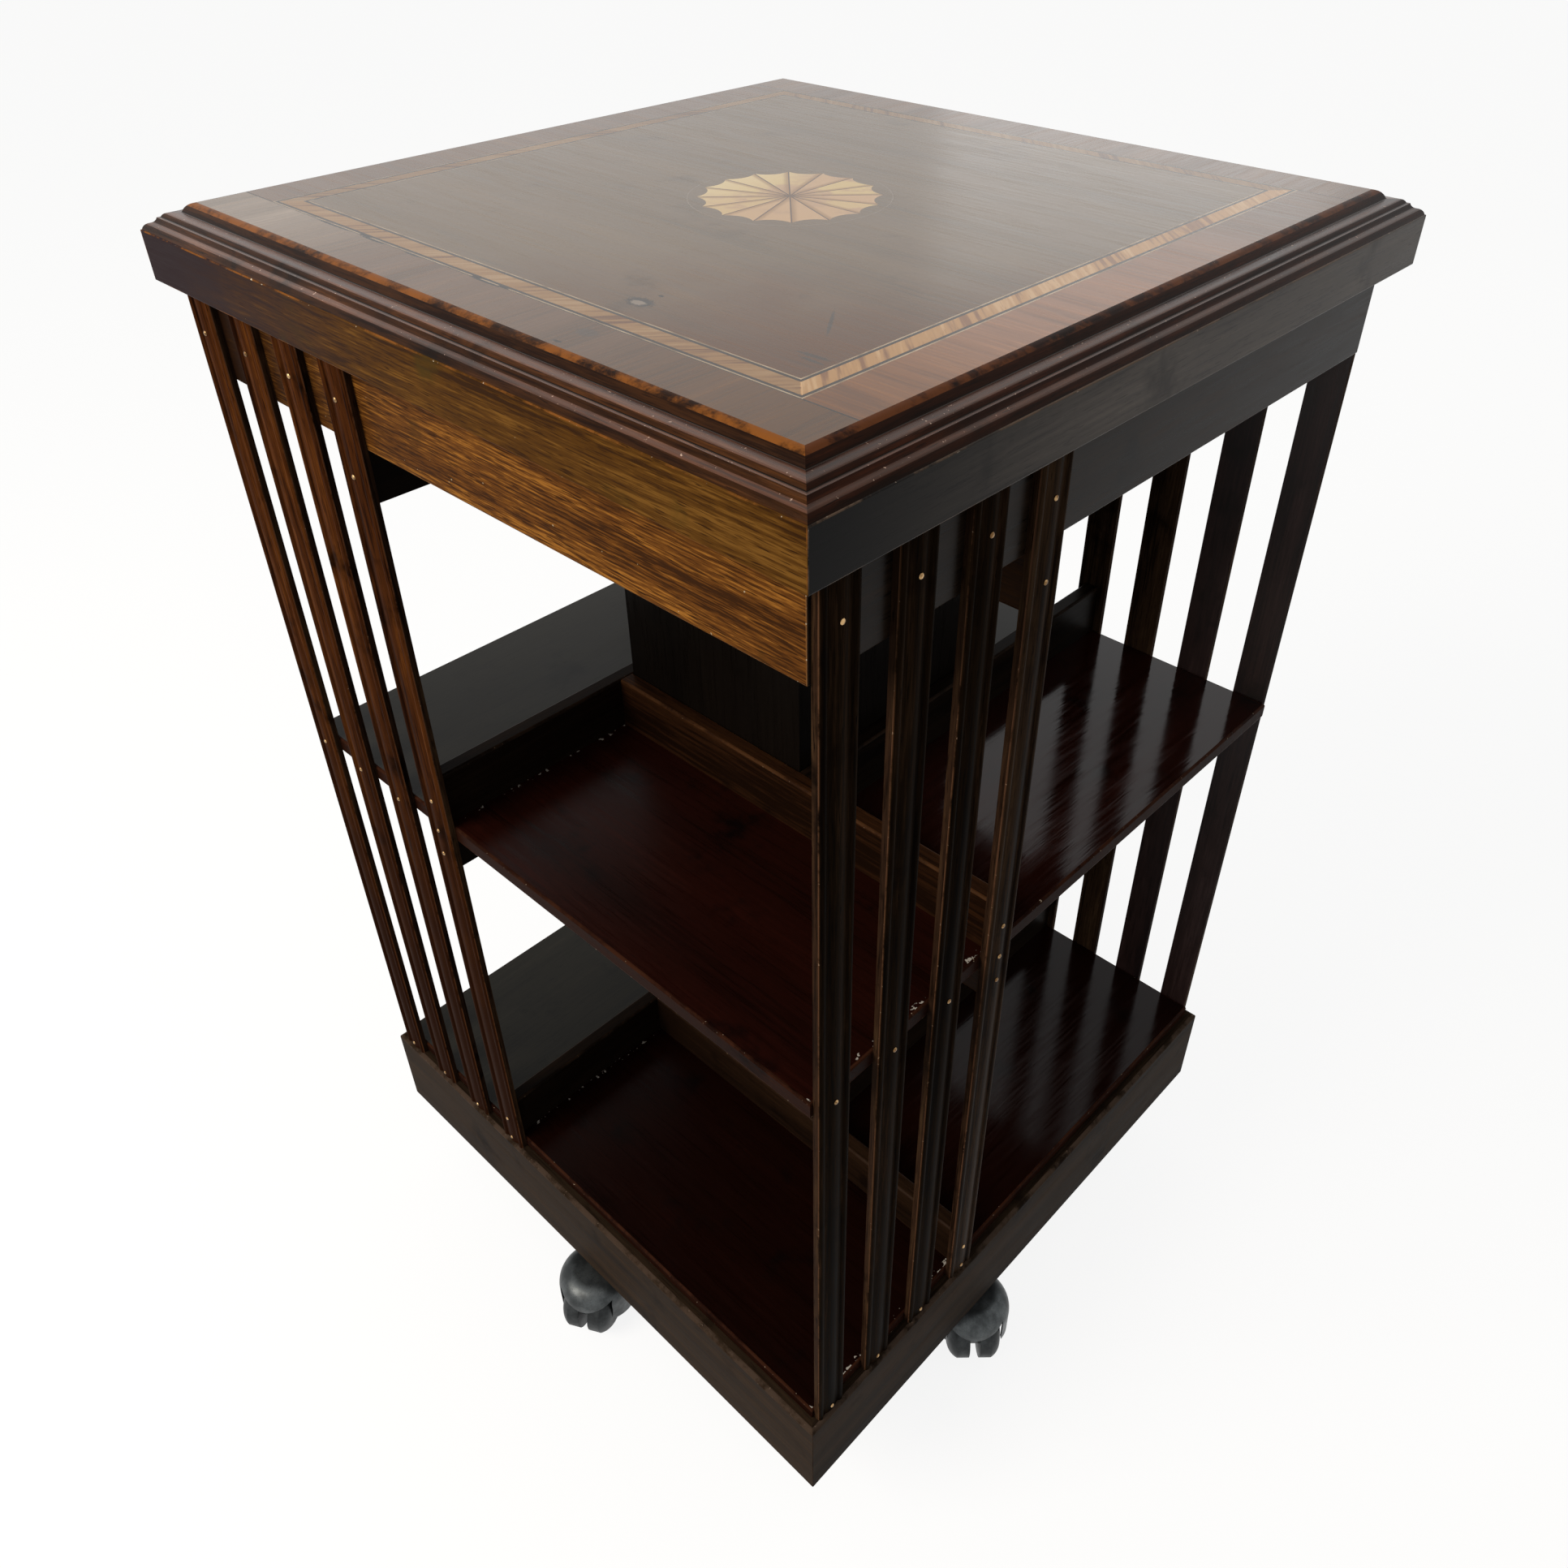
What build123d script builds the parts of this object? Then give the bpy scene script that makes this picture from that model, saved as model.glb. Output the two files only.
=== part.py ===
from build123d import *
import os
from math import cos, radians, sin, sqrt

# A revolving bookcase in stained mahogany. A square case with two tiers of book bays, laid out as a
# pinwheel round a hollow column, turns on a fixed post that stands on a cross with four castors.
# Millimetres, +Z up, the floor at Z = 0 and the turning axis on X = Y = 0. The front face is -Y.

# Heights of the case, from the floor up
PLINTH_BOTTOM = 80.0
PLINTH_HEIGHT = 74.5
FLOOR_THICK = 9.5
LOWER_BAY_HEIGHT = 299.0
SHELF_THICK = 11.0
UPPER_BAY_HEIGHT = 246.0
FRIEZE_HEIGHT = 75.0
FASCIA_HEIGHT = 26.0
TOP_THICK = 13.0

# Plan of the case
SHELF_HALF = 227.2
PLINTH_PROUD = 7.1
PLINTH_THICK = 12.0
PLINTH_ARRIS = 3.0
FRIEZE_THICK = 14.0
FASCIA_THICK = 12.8
SHELF_ARRIS = 1.5
SOFFIT_THICK = 10.0
COLUMN_HALF = 76.0
COLUMN_THICK = 9.0

# Rails that close the bays along the pinwheel lines
RAIL_THICK = 11.0
LOW_RAIL_HEIGHT = 36.0
SHELF_HANGING_RAIL_DEPTH = 26.5
TOP_HANGING_RAIL_DEPTH = 32.0
RAIL_ARRIS = 1.5

# Reeded slats, four to a face, and the brass pins through them
SLATS_PER_FACE = 4
SLAT_WIDTH = 22.4
SLAT_THICK = 5.1
SLAT_CORNER_MARGIN = 2.0
SLAT_EDGE_BEAD = 4.5
SLAT_QUIRK_WIDTH = 1.2
SLAT_REED_RISE = 1.3
PIN_RADIUS = 1.3
PIN_PROUD = 0.3
PIN_CLEARANCE = 0.02

# Moulded edge of the top, each member as its run outwards and its drop
MOULD_REVEAL = 0.8
OVOLO_RUN = 6.3
OVOLO_DROP = 4.7
LEDGE_RUN = 5.1
LEDGE_DROP = 0.2
BEAD_RUN = 3.1
BEAD_DROP = 2.1
FILLET_RUN = 1.5
FILLET_DROP = 0.1
COVE_RUN = 3.0
COVE_DROP = 2.7
TORUS_RUN = 3.6
MEMBER_SWELL = 0.15

# Veneers and inlay of the top
VENEER_THICK = 1.0
CROSSBAND_WIDTH = 27.5
STRING_WIDTH = 0.8
STRING_GAP = 1.6
BAND_WIDTH = 8.8
PATERA_RADIUS = 49.0
PATERA_PETALS = 16
PATERA_SCALLOP = 3.6
PATERA_EDGE_RADIUS = 54.0

# Fixed base: halved cross bars, post and pivot
BASE_TURN = -6.0
BAR_BOTTOM = 56.0
BAR_HEIGHT = 36.0
BAR_WIDTH = 44.0
BAR_END_CLEARANCE = 5.0
BAR_END_CHAMFER = 8.0
POST_RADIUS = 22.0
POST_HEAD_GAP = 20.0
TENON_RADIUS = 12.0
PIVOT_RADIUS = 6.0
PIVOT_EMBED = 45.0
PIVOT_CLEARANCE = 0.05
SOCKET_PLATE_RADIUS = 32.0
SOCKET_PLATE_THICK = 4.0
SOCKET_BARREL_WALL = 5.0
SOCKET_CROWN = 3.0
GUIDE_WALL = 6.0
GUIDE_FLANGE = 8.0
GUIDE_FLANGE_THICK = 4.0
GUIDE_CLEARANCE = 0.05

# Castors: hooded, with two domed wheels each
CASTOR_INSET = 18.3
CASTOR_HEADINGS = {"right": -46.0, "back": 118.0, "left": 134.0, "front": -62.0}
CASTOR_TRAIL = 35.0
STEM_RADIUS = 5.0
STEM_LENGTH = 28.0
STEM_CLEARANCE = 0.05
STEM_TOP_GAP = 2.0
FERRULE_WALL = 2.0
FERRULE_FLANGE = 4.0
FERRULE_FLANGE_THICK = 2.0
WHEEL_RADIUS = 22.0
WHEEL_TREAD = 9.0
WHEEL_DEPTH = 16.0
WHEEL_CAP_RADIUS = 7.0
WHEEL_CAP_WALL = 2.5
WHEEL_SIDE_GAP = 0.4
AXLE_RADIUS = 3.0
AXLE_CLEARANCE = 0.05
AXLE_PRESS_CLEARANCE = 0.02
WEB_THICK = 7.0
WEB_RADIUS = 12.0
WHEEL_ROOM = 2.0
WHEEL_SIDE_ROOM = 1.5
ROOF_ROOM = 3.0
HOOD_RADIUS = 28.5
HOOD_SETBACK = 9.0
HOOD_SHOULDER = 14.0
HOOD_ROOF = 6.0
HOOD_WALL = 2.5
HOOD_SKIRT = 14.0
HOOD_TILT = 20.0
BOSS_RADIUS = 8.5
BOSS_HEIGHT = 18.0

# Levels and half-widths that follow from the sizes above
plinth_top = PLINTH_BOTTOM + PLINTH_HEIGHT
floor_top = plinth_top + FLOOR_THICK
shelf_bottom = floor_top + LOWER_BAY_HEIGHT
shelf_top = shelf_bottom + SHELF_THICK
frieze_bottom = shelf_top + UPPER_BAY_HEIGHT
frieze_top = frieze_bottom + FRIEZE_HEIGHT
fascia_bottom = frieze_top - FASCIA_HEIGHT
veneer_bottom = frieze_top + TOP_THICK - VENEER_THICK
top = frieze_top + TOP_THICK
plinth_half = SHELF_HALF + PLINTH_PROUD
plinth_inner = plinth_half - PLINTH_THICK
castor_circle = plinth_inner - CASTOR_INSET
frieze_inner = SHELF_HALF - FRIEZE_THICK
fascia_half = SHELF_HALF + FASCIA_THICK
mould_half = fascia_half - MOULD_REVEAL
mould_run = OVOLO_RUN + LEDGE_RUN + BEAD_RUN + FILLET_RUN + COVE_RUN + TORUS_RUN
top_half = mould_half - mould_run
crossband_inner = top_half - CROSSBAND_WIDTH
outer_string_inner = crossband_inner - STRING_WIDTH
band_outer = outer_string_inner - STRING_GAP
band_inner = band_outer - BAND_WIDTH
inner_string_outer = band_inner - STRING_GAP
field_half = inner_string_outer - STRING_WIDTH
rail_outer = COLUMN_HALF + RAIL_THICK
bar_top = BAR_BOTTOM + BAR_HEIGHT
bar_end = sqrt((plinth_inner - BAR_END_CLEARANCE) ** 2 - (BAR_WIDTH / 2) ** 2)
post_top = frieze_bottom - POST_HEAD_GAP
pivot_top = frieze_bottom + SOFFIT_THICK + SOCKET_PLATE_THICK - SOCKET_CROWN
socket_bore = PIVOT_RADIUS + PIVOT_CLEARANCE
socket_barrel = socket_bore + SOCKET_BARREL_WALL
guide_bore = POST_RADIUS + GUIDE_CLEARANCE
guide_outer = guide_bore + GUIDE_WALL
ferrule_bore = STEM_RADIUS + STEM_CLEARANCE
ferrule_outer = ferrule_bore + FERRULE_WALL
boss_top = BAR_BOTTOM - FERRULE_FLANGE_THICK
roof_bottom = 2 * WHEEL_RADIUS + ROOF_ROOM
wheel_start = WEB_THICK / 2 + WHEEL_SIDE_GAP
wheel_end = wheel_start + WHEEL_DEPTH
axle_half = wheel_end - WHEEL_CAP_WALL - WHEEL_SIDE_GAP


def block(low, high):
    """A box between two opposite corners."""
    size = [b - a for a, b in zip(low, high)]
    centre = [(a + b) / 2 for a, b in zip(low, high)]
    return Pos(*centre) * Box(*size)


def square(half, bottom, height):
    """A square board centred on the turning axis."""
    return block((-half, -half, bottom), (half, half, bottom + height))


def upright(radius, bottom, height):
    """A cylinder standing on the turning axis."""
    return Pos(0, 0, bottom + height / 2) * Cylinder(radius, height)


def turned(radius_and_height):
    """A solid turned about the Z axis from a list of (radius, height) corners."""
    outline = Polyline(*[(r, z) for r, z in radius_and_height], close=True)
    return revolve(Plane.XZ * make_face(outline), Axis.Z)


def four_sides(front_piece):
    """The front piece and its copies on the other three sides."""
    return [Rot(0, 0, 90 * side) * front_piece for side in range(4)]


def mitred_frame(profile, half):
    """Four lengths of one profile, mitred at the corners. The profile lies in the YZ plane."""
    reach = 2 * half
    length = extrude(Plane.YZ * profile, amount=reach, both=True)
    corner = Polyline((0, 0), (reach, -reach), (-reach, -reach), close=True)
    wedge = extrude(make_face(corner), amount=2 * top)
    return four_sides(length & wedge)


def board_profile(inner, outer, bottom, height):
    """A plain board section on the front side, from the inner to the outer half-width."""
    return Pos(-(inner + outer) / 2, bottom + height / 2) * Rectangle(outer - inner, height)


def square_ring(inner, outer):
    """A flat square ring of veneer in the top."""
    return square(outer, veneer_bottom, VENEER_THICK) - square(inner, veneer_bottom, VENEER_THICK)


def plinth():
    """Mitred skirt boards with a rounded top arris."""
    section = board_profile(plinth_inner, plinth_half, PLINTH_BOTTOM, PLINTH_HEIGHT)
    outer_top = section.vertices().sort_by(Axis.Y)[-2:].sort_by(Axis.X)[0]
    return mitred_frame(fillet(outer_top, PLINTH_ARRIS), plinth_half)


def floor_board():
    """Bottom board of the lower bays, bored for the guide ring."""
    return square(SHELF_HALF, plinth_top, FLOOR_THICK) - upright(guide_outer, plinth_top, FLOOR_THICK)


def guide_ring():
    """Flanged collar that steadies the case on the post."""
    flange_bottom = plinth_top - GUIDE_FLANGE_THICK
    flange = guide_outer + GUIDE_FLANGE
    return turned([
        (guide_bore, flange_bottom), (flange, flange_bottom), (flange, plinth_top),
        (guide_outer, plinth_top), (guide_outer, floor_top), (guide_bore, floor_top),
    ])


def mid_shelf():
    """Shelf between the tiers, with a hole that the column passes through and eased edges."""
    board = square(SHELF_HALF, shelf_bottom, SHELF_THICK)
    rims = board.edges().filter_by(Axis.Z, reverse=True)
    return fillet(rims, SHELF_ARRIS) - square(COLUMN_HALF, shelf_bottom, SHELF_THICK)


def column():
    """Hollow square column of four mitred boards."""
    inner = COLUMN_HALF - COLUMN_THICK
    section = board_profile(inner, COLUMN_HALF, floor_top, frieze_bottom - floor_top)
    return mitred_frame(section, COLUMN_HALF)


def rails(bottom, height, free_edge):
    """One level of rails: each runs from its neighbour's flank out to the last slat of the next face."""
    rail = block((-COLUMN_HALF, -rail_outer, bottom), (SHELF_HALF, -COLUMN_HALF, bottom + height))
    arrises = rail.edges().filter_by(Axis.X).group_by(Axis.Z)[free_edge]
    return four_sides(fillet(arrises, RAIL_ARRIS))


def slat_centres():
    """Places of the slats along a face: the first by the corner, the last over the rail ends."""
    first = -SHELF_HALF + SLAT_CORNER_MARGIN + SLAT_WIDTH / 2
    last = -(COLUMN_HALF + RAIL_THICK / 2)
    pitch = (last - first) / (SLATS_PER_FACE - 1)
    return [first + pitch * place for place in range(SLATS_PER_FACE)]


def pin_heights(place):
    """Heights of the pins in a slat: into frieze, shelf and floor, and on the last slat the rails."""
    boards = [
        (fascia_bottom + frieze_bottom) / 2,
        shelf_bottom + SHELF_THICK / 2,
        plinth_top + FLOOR_THICK / 2,
    ]
    rail_ends = [
        frieze_bottom - TOP_HANGING_RAIL_DEPTH / 2,
        shelf_top + LOW_RAIL_HEIGHT / 2,
        shelf_bottom - SHELF_HANGING_RAIL_DEPTH / 2,
        floor_top + LOW_RAIL_HEIGHT / 2,
    ]
    return boards + rail_ends if place == SLATS_PER_FACE - 1 else boards


def pin_at(centre, height, radius, depth):
    """A round pin through the front face's slats, from their back face outwards."""
    middle = -(SHELF_HALF + depth / 2)
    return Pos(centre, middle, height) * Rot(90, 0, 0) * Cylinder(radius, depth)


def slat_section():
    """Reeded slat section: two edge beads and a wider middle reed, parted by flat quirks."""
    half = SLAT_WIDTH / 2
    ground = -(SLAT_THICK - SLAT_REED_RISE)
    bead_inner = half - SLAT_EDGE_BEAD
    reed_half = bead_inner - SLAT_QUIRK_WIDTH
    bead_middle = half - SLAT_EDGE_BEAD / 2
    edges = [
        Polyline((-half, ground), (-half, 0), (half, 0), (half, ground)),
        ThreePointArc((half, ground), (bead_middle, -SLAT_THICK), (bead_inner, ground)),
        Line((bead_inner, ground), (reed_half, ground)),
        ThreePointArc((reed_half, ground), (0, -SLAT_THICK), (-reed_half, ground)),
        Line((-reed_half, ground), (-bead_inner, ground)),
        ThreePointArc((-bead_inner, ground), (-bead_middle, -SLAT_THICK), (-half, ground)),
    ]
    return make_face(edges)


def front_slat(place):
    """One slat of the front face, standing on the plinth and reaching the fascia."""
    centre = slat_centres()[place]
    section = Pos(centre, -SHELF_HALF, plinth_top) * slat_section()
    slat = extrude(section, amount=fascia_bottom - plinth_top)
    for height in pin_heights(place):
        slat -= pin_at(centre, height, PIN_RADIUS + PIN_CLEARANCE, SLAT_THICK)
    return slat


def brass_pins():
    """All the pins, a little proud of the slats."""
    pins = []
    for place, centre in enumerate(slat_centres()):
        for height in pin_heights(place):
            pins += four_sides(pin_at(centre, height, PIN_RADIUS, SLAT_THICK + PIN_PROUD))
    return pins


def frieze():
    """Mitred boards of the box under the top."""
    return mitred_frame(board_profile(frieze_inner, SHELF_HALF, frieze_bottom, FRIEZE_HEIGHT), SHELF_HALF)


def fascia():
    """Mitred strips round the head of the frieze."""
    return mitred_frame(board_profile(SHELF_HALF, fascia_half, fascia_bottom, FASCIA_HEIGHT), fascia_half)


def soffit_board():
    """Underside of the box below the top, bored for the pivot socket."""
    board = square(frieze_inner, frieze_bottom, SOFFIT_THICK)
    return board - upright(socket_barrel, frieze_bottom, SOFFIT_THICK)


def pivot_socket():
    """Flanged steel cup on the soffit that carries the case on the pivot pin."""
    plate_bottom = frieze_bottom + SOFFIT_THICK
    plate_top = plate_bottom + SOCKET_PLATE_THICK
    return turned([
        (0, pivot_top), (socket_bore, pivot_top), (socket_bore, frieze_bottom),
        (socket_barrel, frieze_bottom), (socket_barrel, plate_bottom),
        (SOCKET_PLATE_RADIUS, plate_bottom), (SOCKET_PLATE_RADIUS, plate_top), (0, plate_top),
    ])


def rounded_member(start, end, swell):
    """A round moulding member between two points: swell is its rise over its chord, hollow if negative."""
    run = end[0] - start[0]
    rise = end[1] - start[1]
    middle_x = (start[0] + end[0]) / 2 + rise * swell
    middle_z = (start[1] + end[1]) / 2 - run * swell
    return ThreePointArc(start, (middle_x, middle_z), end)


def top_moulding():
    """Mitred moulding round the top. Outward is -Y, so each member steps to lower local x."""
    top_edge = (-top_half, top)
    ovolo_foot = (top_edge[0] - OVOLO_RUN, top_edge[1] - OVOLO_DROP)
    ledge_end = (ovolo_foot[0] - LEDGE_RUN, ovolo_foot[1] - LEDGE_DROP)
    bead_foot = (ledge_end[0] - BEAD_RUN, ledge_end[1] - BEAD_DROP)
    fillet_end = (bead_foot[0] - FILLET_RUN, bead_foot[1] - FILLET_DROP)
    cove_foot = (fillet_end[0] - COVE_RUN, fillet_end[1] - COVE_DROP)
    torus_foot = (cove_foot[0] - TORUS_RUN, frieze_top)
    section = make_face([
        rounded_member(top_edge, ovolo_foot, MEMBER_SWELL),
        Line(ovolo_foot, ledge_end),
        rounded_member(ledge_end, bead_foot, MEMBER_SWELL),
        Line(bead_foot, fillet_end),
        rounded_member(fillet_end, cove_foot, -MEMBER_SWELL),
        rounded_member(cove_foot, torus_foot, MEMBER_SWELL),
        Polyline(torus_foot, (-top_half, frieze_top), top_edge),
    ])
    return mitred_frame(section, mould_half)


def top_board():
    """Ground of the top, under the veneers."""
    return square(top_half, frieze_top, TOP_THICK - VENEER_THICK)


def crossbanding():
    """Border veneers: the front and back ones run through, and the side ones butt between them."""
    through = block((-top_half, -top_half, veneer_bottom), (top_half, -crossband_inner, top))
    butted = block((crossband_inner, -crossband_inner, veneer_bottom), (top_half, crossband_inner, top))
    return [Rot(0, 0, turn) * strip for turn in (0, 180) for strip in (through, butted)]


def stringing():
    """Boxwood lines on both sides of the satinwood band."""
    return [square_ring(outer_string_inner, crossband_inner), square_ring(field_half, inner_string_outer)]


def satinwood_band():
    """Crossbanded satinwood frame."""
    return square_ring(band_inner, band_outer)


def field_veneer():
    """Mahogany field round the inlaid fan, and the strips between band and stringing."""
    field = square(field_half, veneer_bottom, VENEER_THICK)
    field -= upright(PATERA_EDGE_RADIUS, veneer_bottom, VENEER_THICK)
    return [field, square_ring(band_outer, outer_string_inner), square_ring(inner_string_outer, band_inner)]


def petal():
    """One petal of the fan: a wedge from the centre with a hollowed end between two sharp tips."""
    half_angle = radians(180 / PATERA_PETALS)
    tip_x = PATERA_RADIUS * cos(half_angle)
    tip_y = PATERA_RADIUS * sin(half_angle)
    outline = [
        Polyline((tip_x, tip_y), (0, 0), (tip_x, -tip_y)),
        ThreePointArc((tip_x, -tip_y), (tip_x - PATERA_SCALLOP, 0), (tip_x, tip_y)),
    ]
    return extrude(Pos(0, 0, veneer_bottom) * make_face(outline), amount=VENEER_THICK)


def patera():
    """The fan of satinwood petals, with a joint on each axis of the top."""
    step = 360 / PATERA_PETALS
    return [Rot(0, 0, step * (place + 0.5)) * petal() for place in range(PATERA_PETALS)]


def patera_ground():
    """Dark round veneer that the fan is let into."""
    return upright(PATERA_EDGE_RADIUS, veneer_bottom, VENEER_THICK) - patera()


def ferrule_places():
    """The four castor stem axes."""
    return [Rot(0, 0, BASE_TURN + 90 * side) * Pos(castor_circle, 0, 0) for side in range(4)]


def cross_bar(notch_bottom, side):
    """One bar of the halved cross, with chamfered ends, a tenon hole and two castor bores."""
    bar = block((-bar_end, -BAR_WIDTH / 2, BAR_BOTTOM), (bar_end, BAR_WIDTH / 2, bar_top))
    upper_ends = bar.edges().filter_by(Axis.Y).group_by(Axis.Z)[-1]
    bar = chamfer(upper_ends, BAR_END_CHAMFER)
    half = BAR_WIDTH / 2
    bar -= block((-half, -half, notch_bottom), (half, half, notch_bottom + BAR_HEIGHT / 2))
    bar -= upright(TENON_RADIUS, BAR_BOTTOM, BAR_HEIGHT)
    for end in (-castor_circle, castor_circle):
        bar -= Pos(end, 0, 0) * upright(ferrule_outer, BAR_BOTTOM, STEM_LENGTH + STEM_TOP_GAP)
    return Rot(0, 0, BASE_TURN + 90 * side) * bar


def centre_post():
    """Round post tenoned through the cross, bored at its head for the pivot pin."""
    post = upright(POST_RADIUS, bar_top, post_top - bar_top) + upright(TENON_RADIUS, BAR_BOTTOM, BAR_HEIGHT)
    return post - upright(PIVOT_RADIUS, post_top - PIVOT_EMBED, PIVOT_EMBED)


def pivot_pin():
    """Steel pin in the head of the post."""
    bottom = post_top - PIVOT_EMBED
    return upright(PIVOT_RADIUS, bottom, pivot_top - bottom)


def castor_ferrules():
    """Flanged steel sockets in the bars for the castor stems."""
    flange = ferrule_outer + FERRULE_FLANGE
    head = BAR_BOTTOM + STEM_LENGTH + STEM_TOP_GAP
    ferrule = turned([
        (ferrule_bore, boss_top), (flange, boss_top), (flange, BAR_BOTTOM),
        (ferrule_outer, BAR_BOTTOM), (ferrule_outer, head), (ferrule_bore, head),
    ])
    return [place * ferrule for place in ferrule_places()]


def bell(radius, height, shoulder):
    """A round form with a rounded shoulder, standing on the floor."""
    form = upright(radius, 0, height)
    return fillet(form.edges().group_by(Axis.Z)[-1], shoulder)


def hood_shell():
    """Round hood with a sloping rim, cut open in front where the wheels stand out."""
    hollow = bell(HOOD_RADIUS - HOOD_WALL, roof_bottom, HOOD_SHOULDER - HOOD_WALL)
    shell = bell(HOOD_RADIUS, roof_bottom + HOOD_ROOF, HOOD_SHOULDER) - hollow
    reach = 2 * HOOD_RADIUS
    below = Pos(0, 0, HOOD_SKIRT) * Rot(0, -HOOD_TILT, 0) * Pos(0, 0, -reach / 2)
    shell -= below * Box(2 * reach, 2 * reach, reach)
    return Pos(CASTOR_TRAIL - HOOD_SETBACK, 0, 0) * shell


def castor_hood():
    """Hood with its stem, boss and the web between the wheels. The castor heads along +X."""
    axle = Pos(CASTOR_TRAIL, 0, WHEEL_RADIUS) * Rot(90, 0, 0)
    shell = hood_shell() + upright(BOSS_RADIUS, boss_top - BOSS_HEIGHT, BOSS_HEIGHT)
    shell -= axle * Cylinder(WHEEL_RADIUS + WHEEL_ROOM, 2 * (wheel_end + WHEEL_SIDE_ROOM))
    web = axle * Cylinder(WEB_RADIUS, WEB_THICK)
    web += block((CASTOR_TRAIL - WEB_RADIUS, -WEB_THICK / 2, WHEEL_RADIUS),
                 (CASTOR_TRAIL + WEB_RADIUS, WEB_THICK / 2, roof_bottom + HOOD_ROOF / 2))
    hood = shell + web
    hood -= axle * Cylinder(AXLE_RADIUS + AXLE_PRESS_CLEARANCE, WEB_THICK)
    return hood + upright(STEM_RADIUS, boss_top, FERRULE_FLANGE_THICK + STEM_LENGTH)


def castor_axle():
    """Steel axle pressed through the web."""
    return Pos(CASTOR_TRAIL, 0, WHEEL_RADIUS) * Rot(90, 0, 0) * Cylinder(AXLE_RADIUS, 2 * axle_half)


def castor_wheel(side):
    """One domed wheel, turned about the axle, with a blind bore. Side is +1 or -1 along Y."""
    bore = AXLE_RADIUS + AXLE_CLEARANCE
    tread_end = wheel_start + WHEEL_TREAD
    bore_end = wheel_end - WHEEL_CAP_WALL
    dome_radius = WHEEL_CAP_RADIUS + sqrt(0.5) * (WHEEL_RADIUS - WHEEL_CAP_RADIUS)
    dome_depth = tread_end + sqrt(0.5) * (wheel_end - tread_end)
    section = make_face([
        Polyline((0, bore_end), (bore, bore_end), (bore, wheel_start), (WHEEL_RADIUS, wheel_start),
                 (WHEEL_RADIUS, tread_end)),
        ThreePointArc((WHEEL_RADIUS, tread_end), (dome_radius, dome_depth), (WHEEL_CAP_RADIUS, wheel_end)),
        Polyline((WHEEL_CAP_RADIUS, wheel_end), (0, wheel_end), (0, bore_end)),
    ])
    wheel = revolve(Plane.XZ * section, Axis.Z)
    return Pos(CASTOR_TRAIL, 0, WHEEL_RADIUS) * Rot(-90 * side, 0, 0) * wheel


def castor_place(name):
    """Where a castor stands: its stem axis and the way it heads."""
    order = list(CASTOR_HEADINGS).index(name)
    angle = radians(BASE_TURN + 90 * order)
    return Pos(castor_circle * cos(angle), castor_circle * sin(angle), 0) * Rot(0, 0, CASTOR_HEADINGS[name])


def save(node, pieces):
    """Write one node: a single solid, or a group of separate solids."""
    shapes = pieces if isinstance(pieces, list) else [pieces]
    solids = [solid for shape in shapes for solid in shape.solids()]
    export_step(solids[0] if len(solids) == 1 else Compound(solids), f"parts/{node}.step")


os.makedirs("parts", exist_ok=True)

# Fixed base
save("cross_bar_lower", cross_bar(BAR_BOTTOM + BAR_HEIGHT / 2, 0))
save("cross_bar_upper", cross_bar(BAR_BOTTOM, 1))
save("centre_post", centre_post())
save("pivot_pin", pivot_pin())
save("castor_ferrules", castor_ferrules())

# Castors
for castor in CASTOR_HEADINGS:
    place = castor_place(castor)
    save(f"castor_hood_{castor}", place * castor_hood())
    save(f"castor_axle_{castor}", place * castor_axle())
    save(f"castor_wheel_{castor}_a", place * castor_wheel(1))
    save(f"castor_wheel_{castor}_b", place * castor_wheel(-1))

# Turning case, from the plinth up
save("plinth", plinth())
save("floor_board", floor_board())
save("guide_ring", guide_ring())
save("column", column())
save("floor_rails", rails(floor_top, LOW_RAIL_HEIGHT, -1))
save("shelf_hanging_rails", rails(shelf_bottom - SHELF_HANGING_RAIL_DEPTH, SHELF_HANGING_RAIL_DEPTH, 0))
save("mid_shelf", mid_shelf())
save("shelf_rails", rails(shelf_top, LOW_RAIL_HEIGHT, -1))
save("top_hanging_rails", rails(frieze_bottom - TOP_HANGING_RAIL_DEPTH, TOP_HANGING_RAIL_DEPTH, 0))
for place in range(SLATS_PER_FACE):
    for face, slat in zip(("front", "right", "back", "left"), four_sides(front_slat(place))):
        save(f"slat_{face}_{place + 1}", slat)
save("brass_pins", brass_pins())
save("frieze", frieze())
save("fascia", fascia())
save("soffit_board", soffit_board())
save("pivot_socket", pivot_socket())

# Top
save("top_board", top_board())
save("top_moulding", top_moulding())
save("crossbanding", crossbanding())
save("stringing", stringing())
save("satinwood_band", satinwood_band())
save("field_veneer", field_veneer())
save("patera", patera())
save("patera_ground", patera_ground())
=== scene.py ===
from math import atan, pi, radians

import bmesh
import bpy
from mathutils import Matrix, Vector


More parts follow.
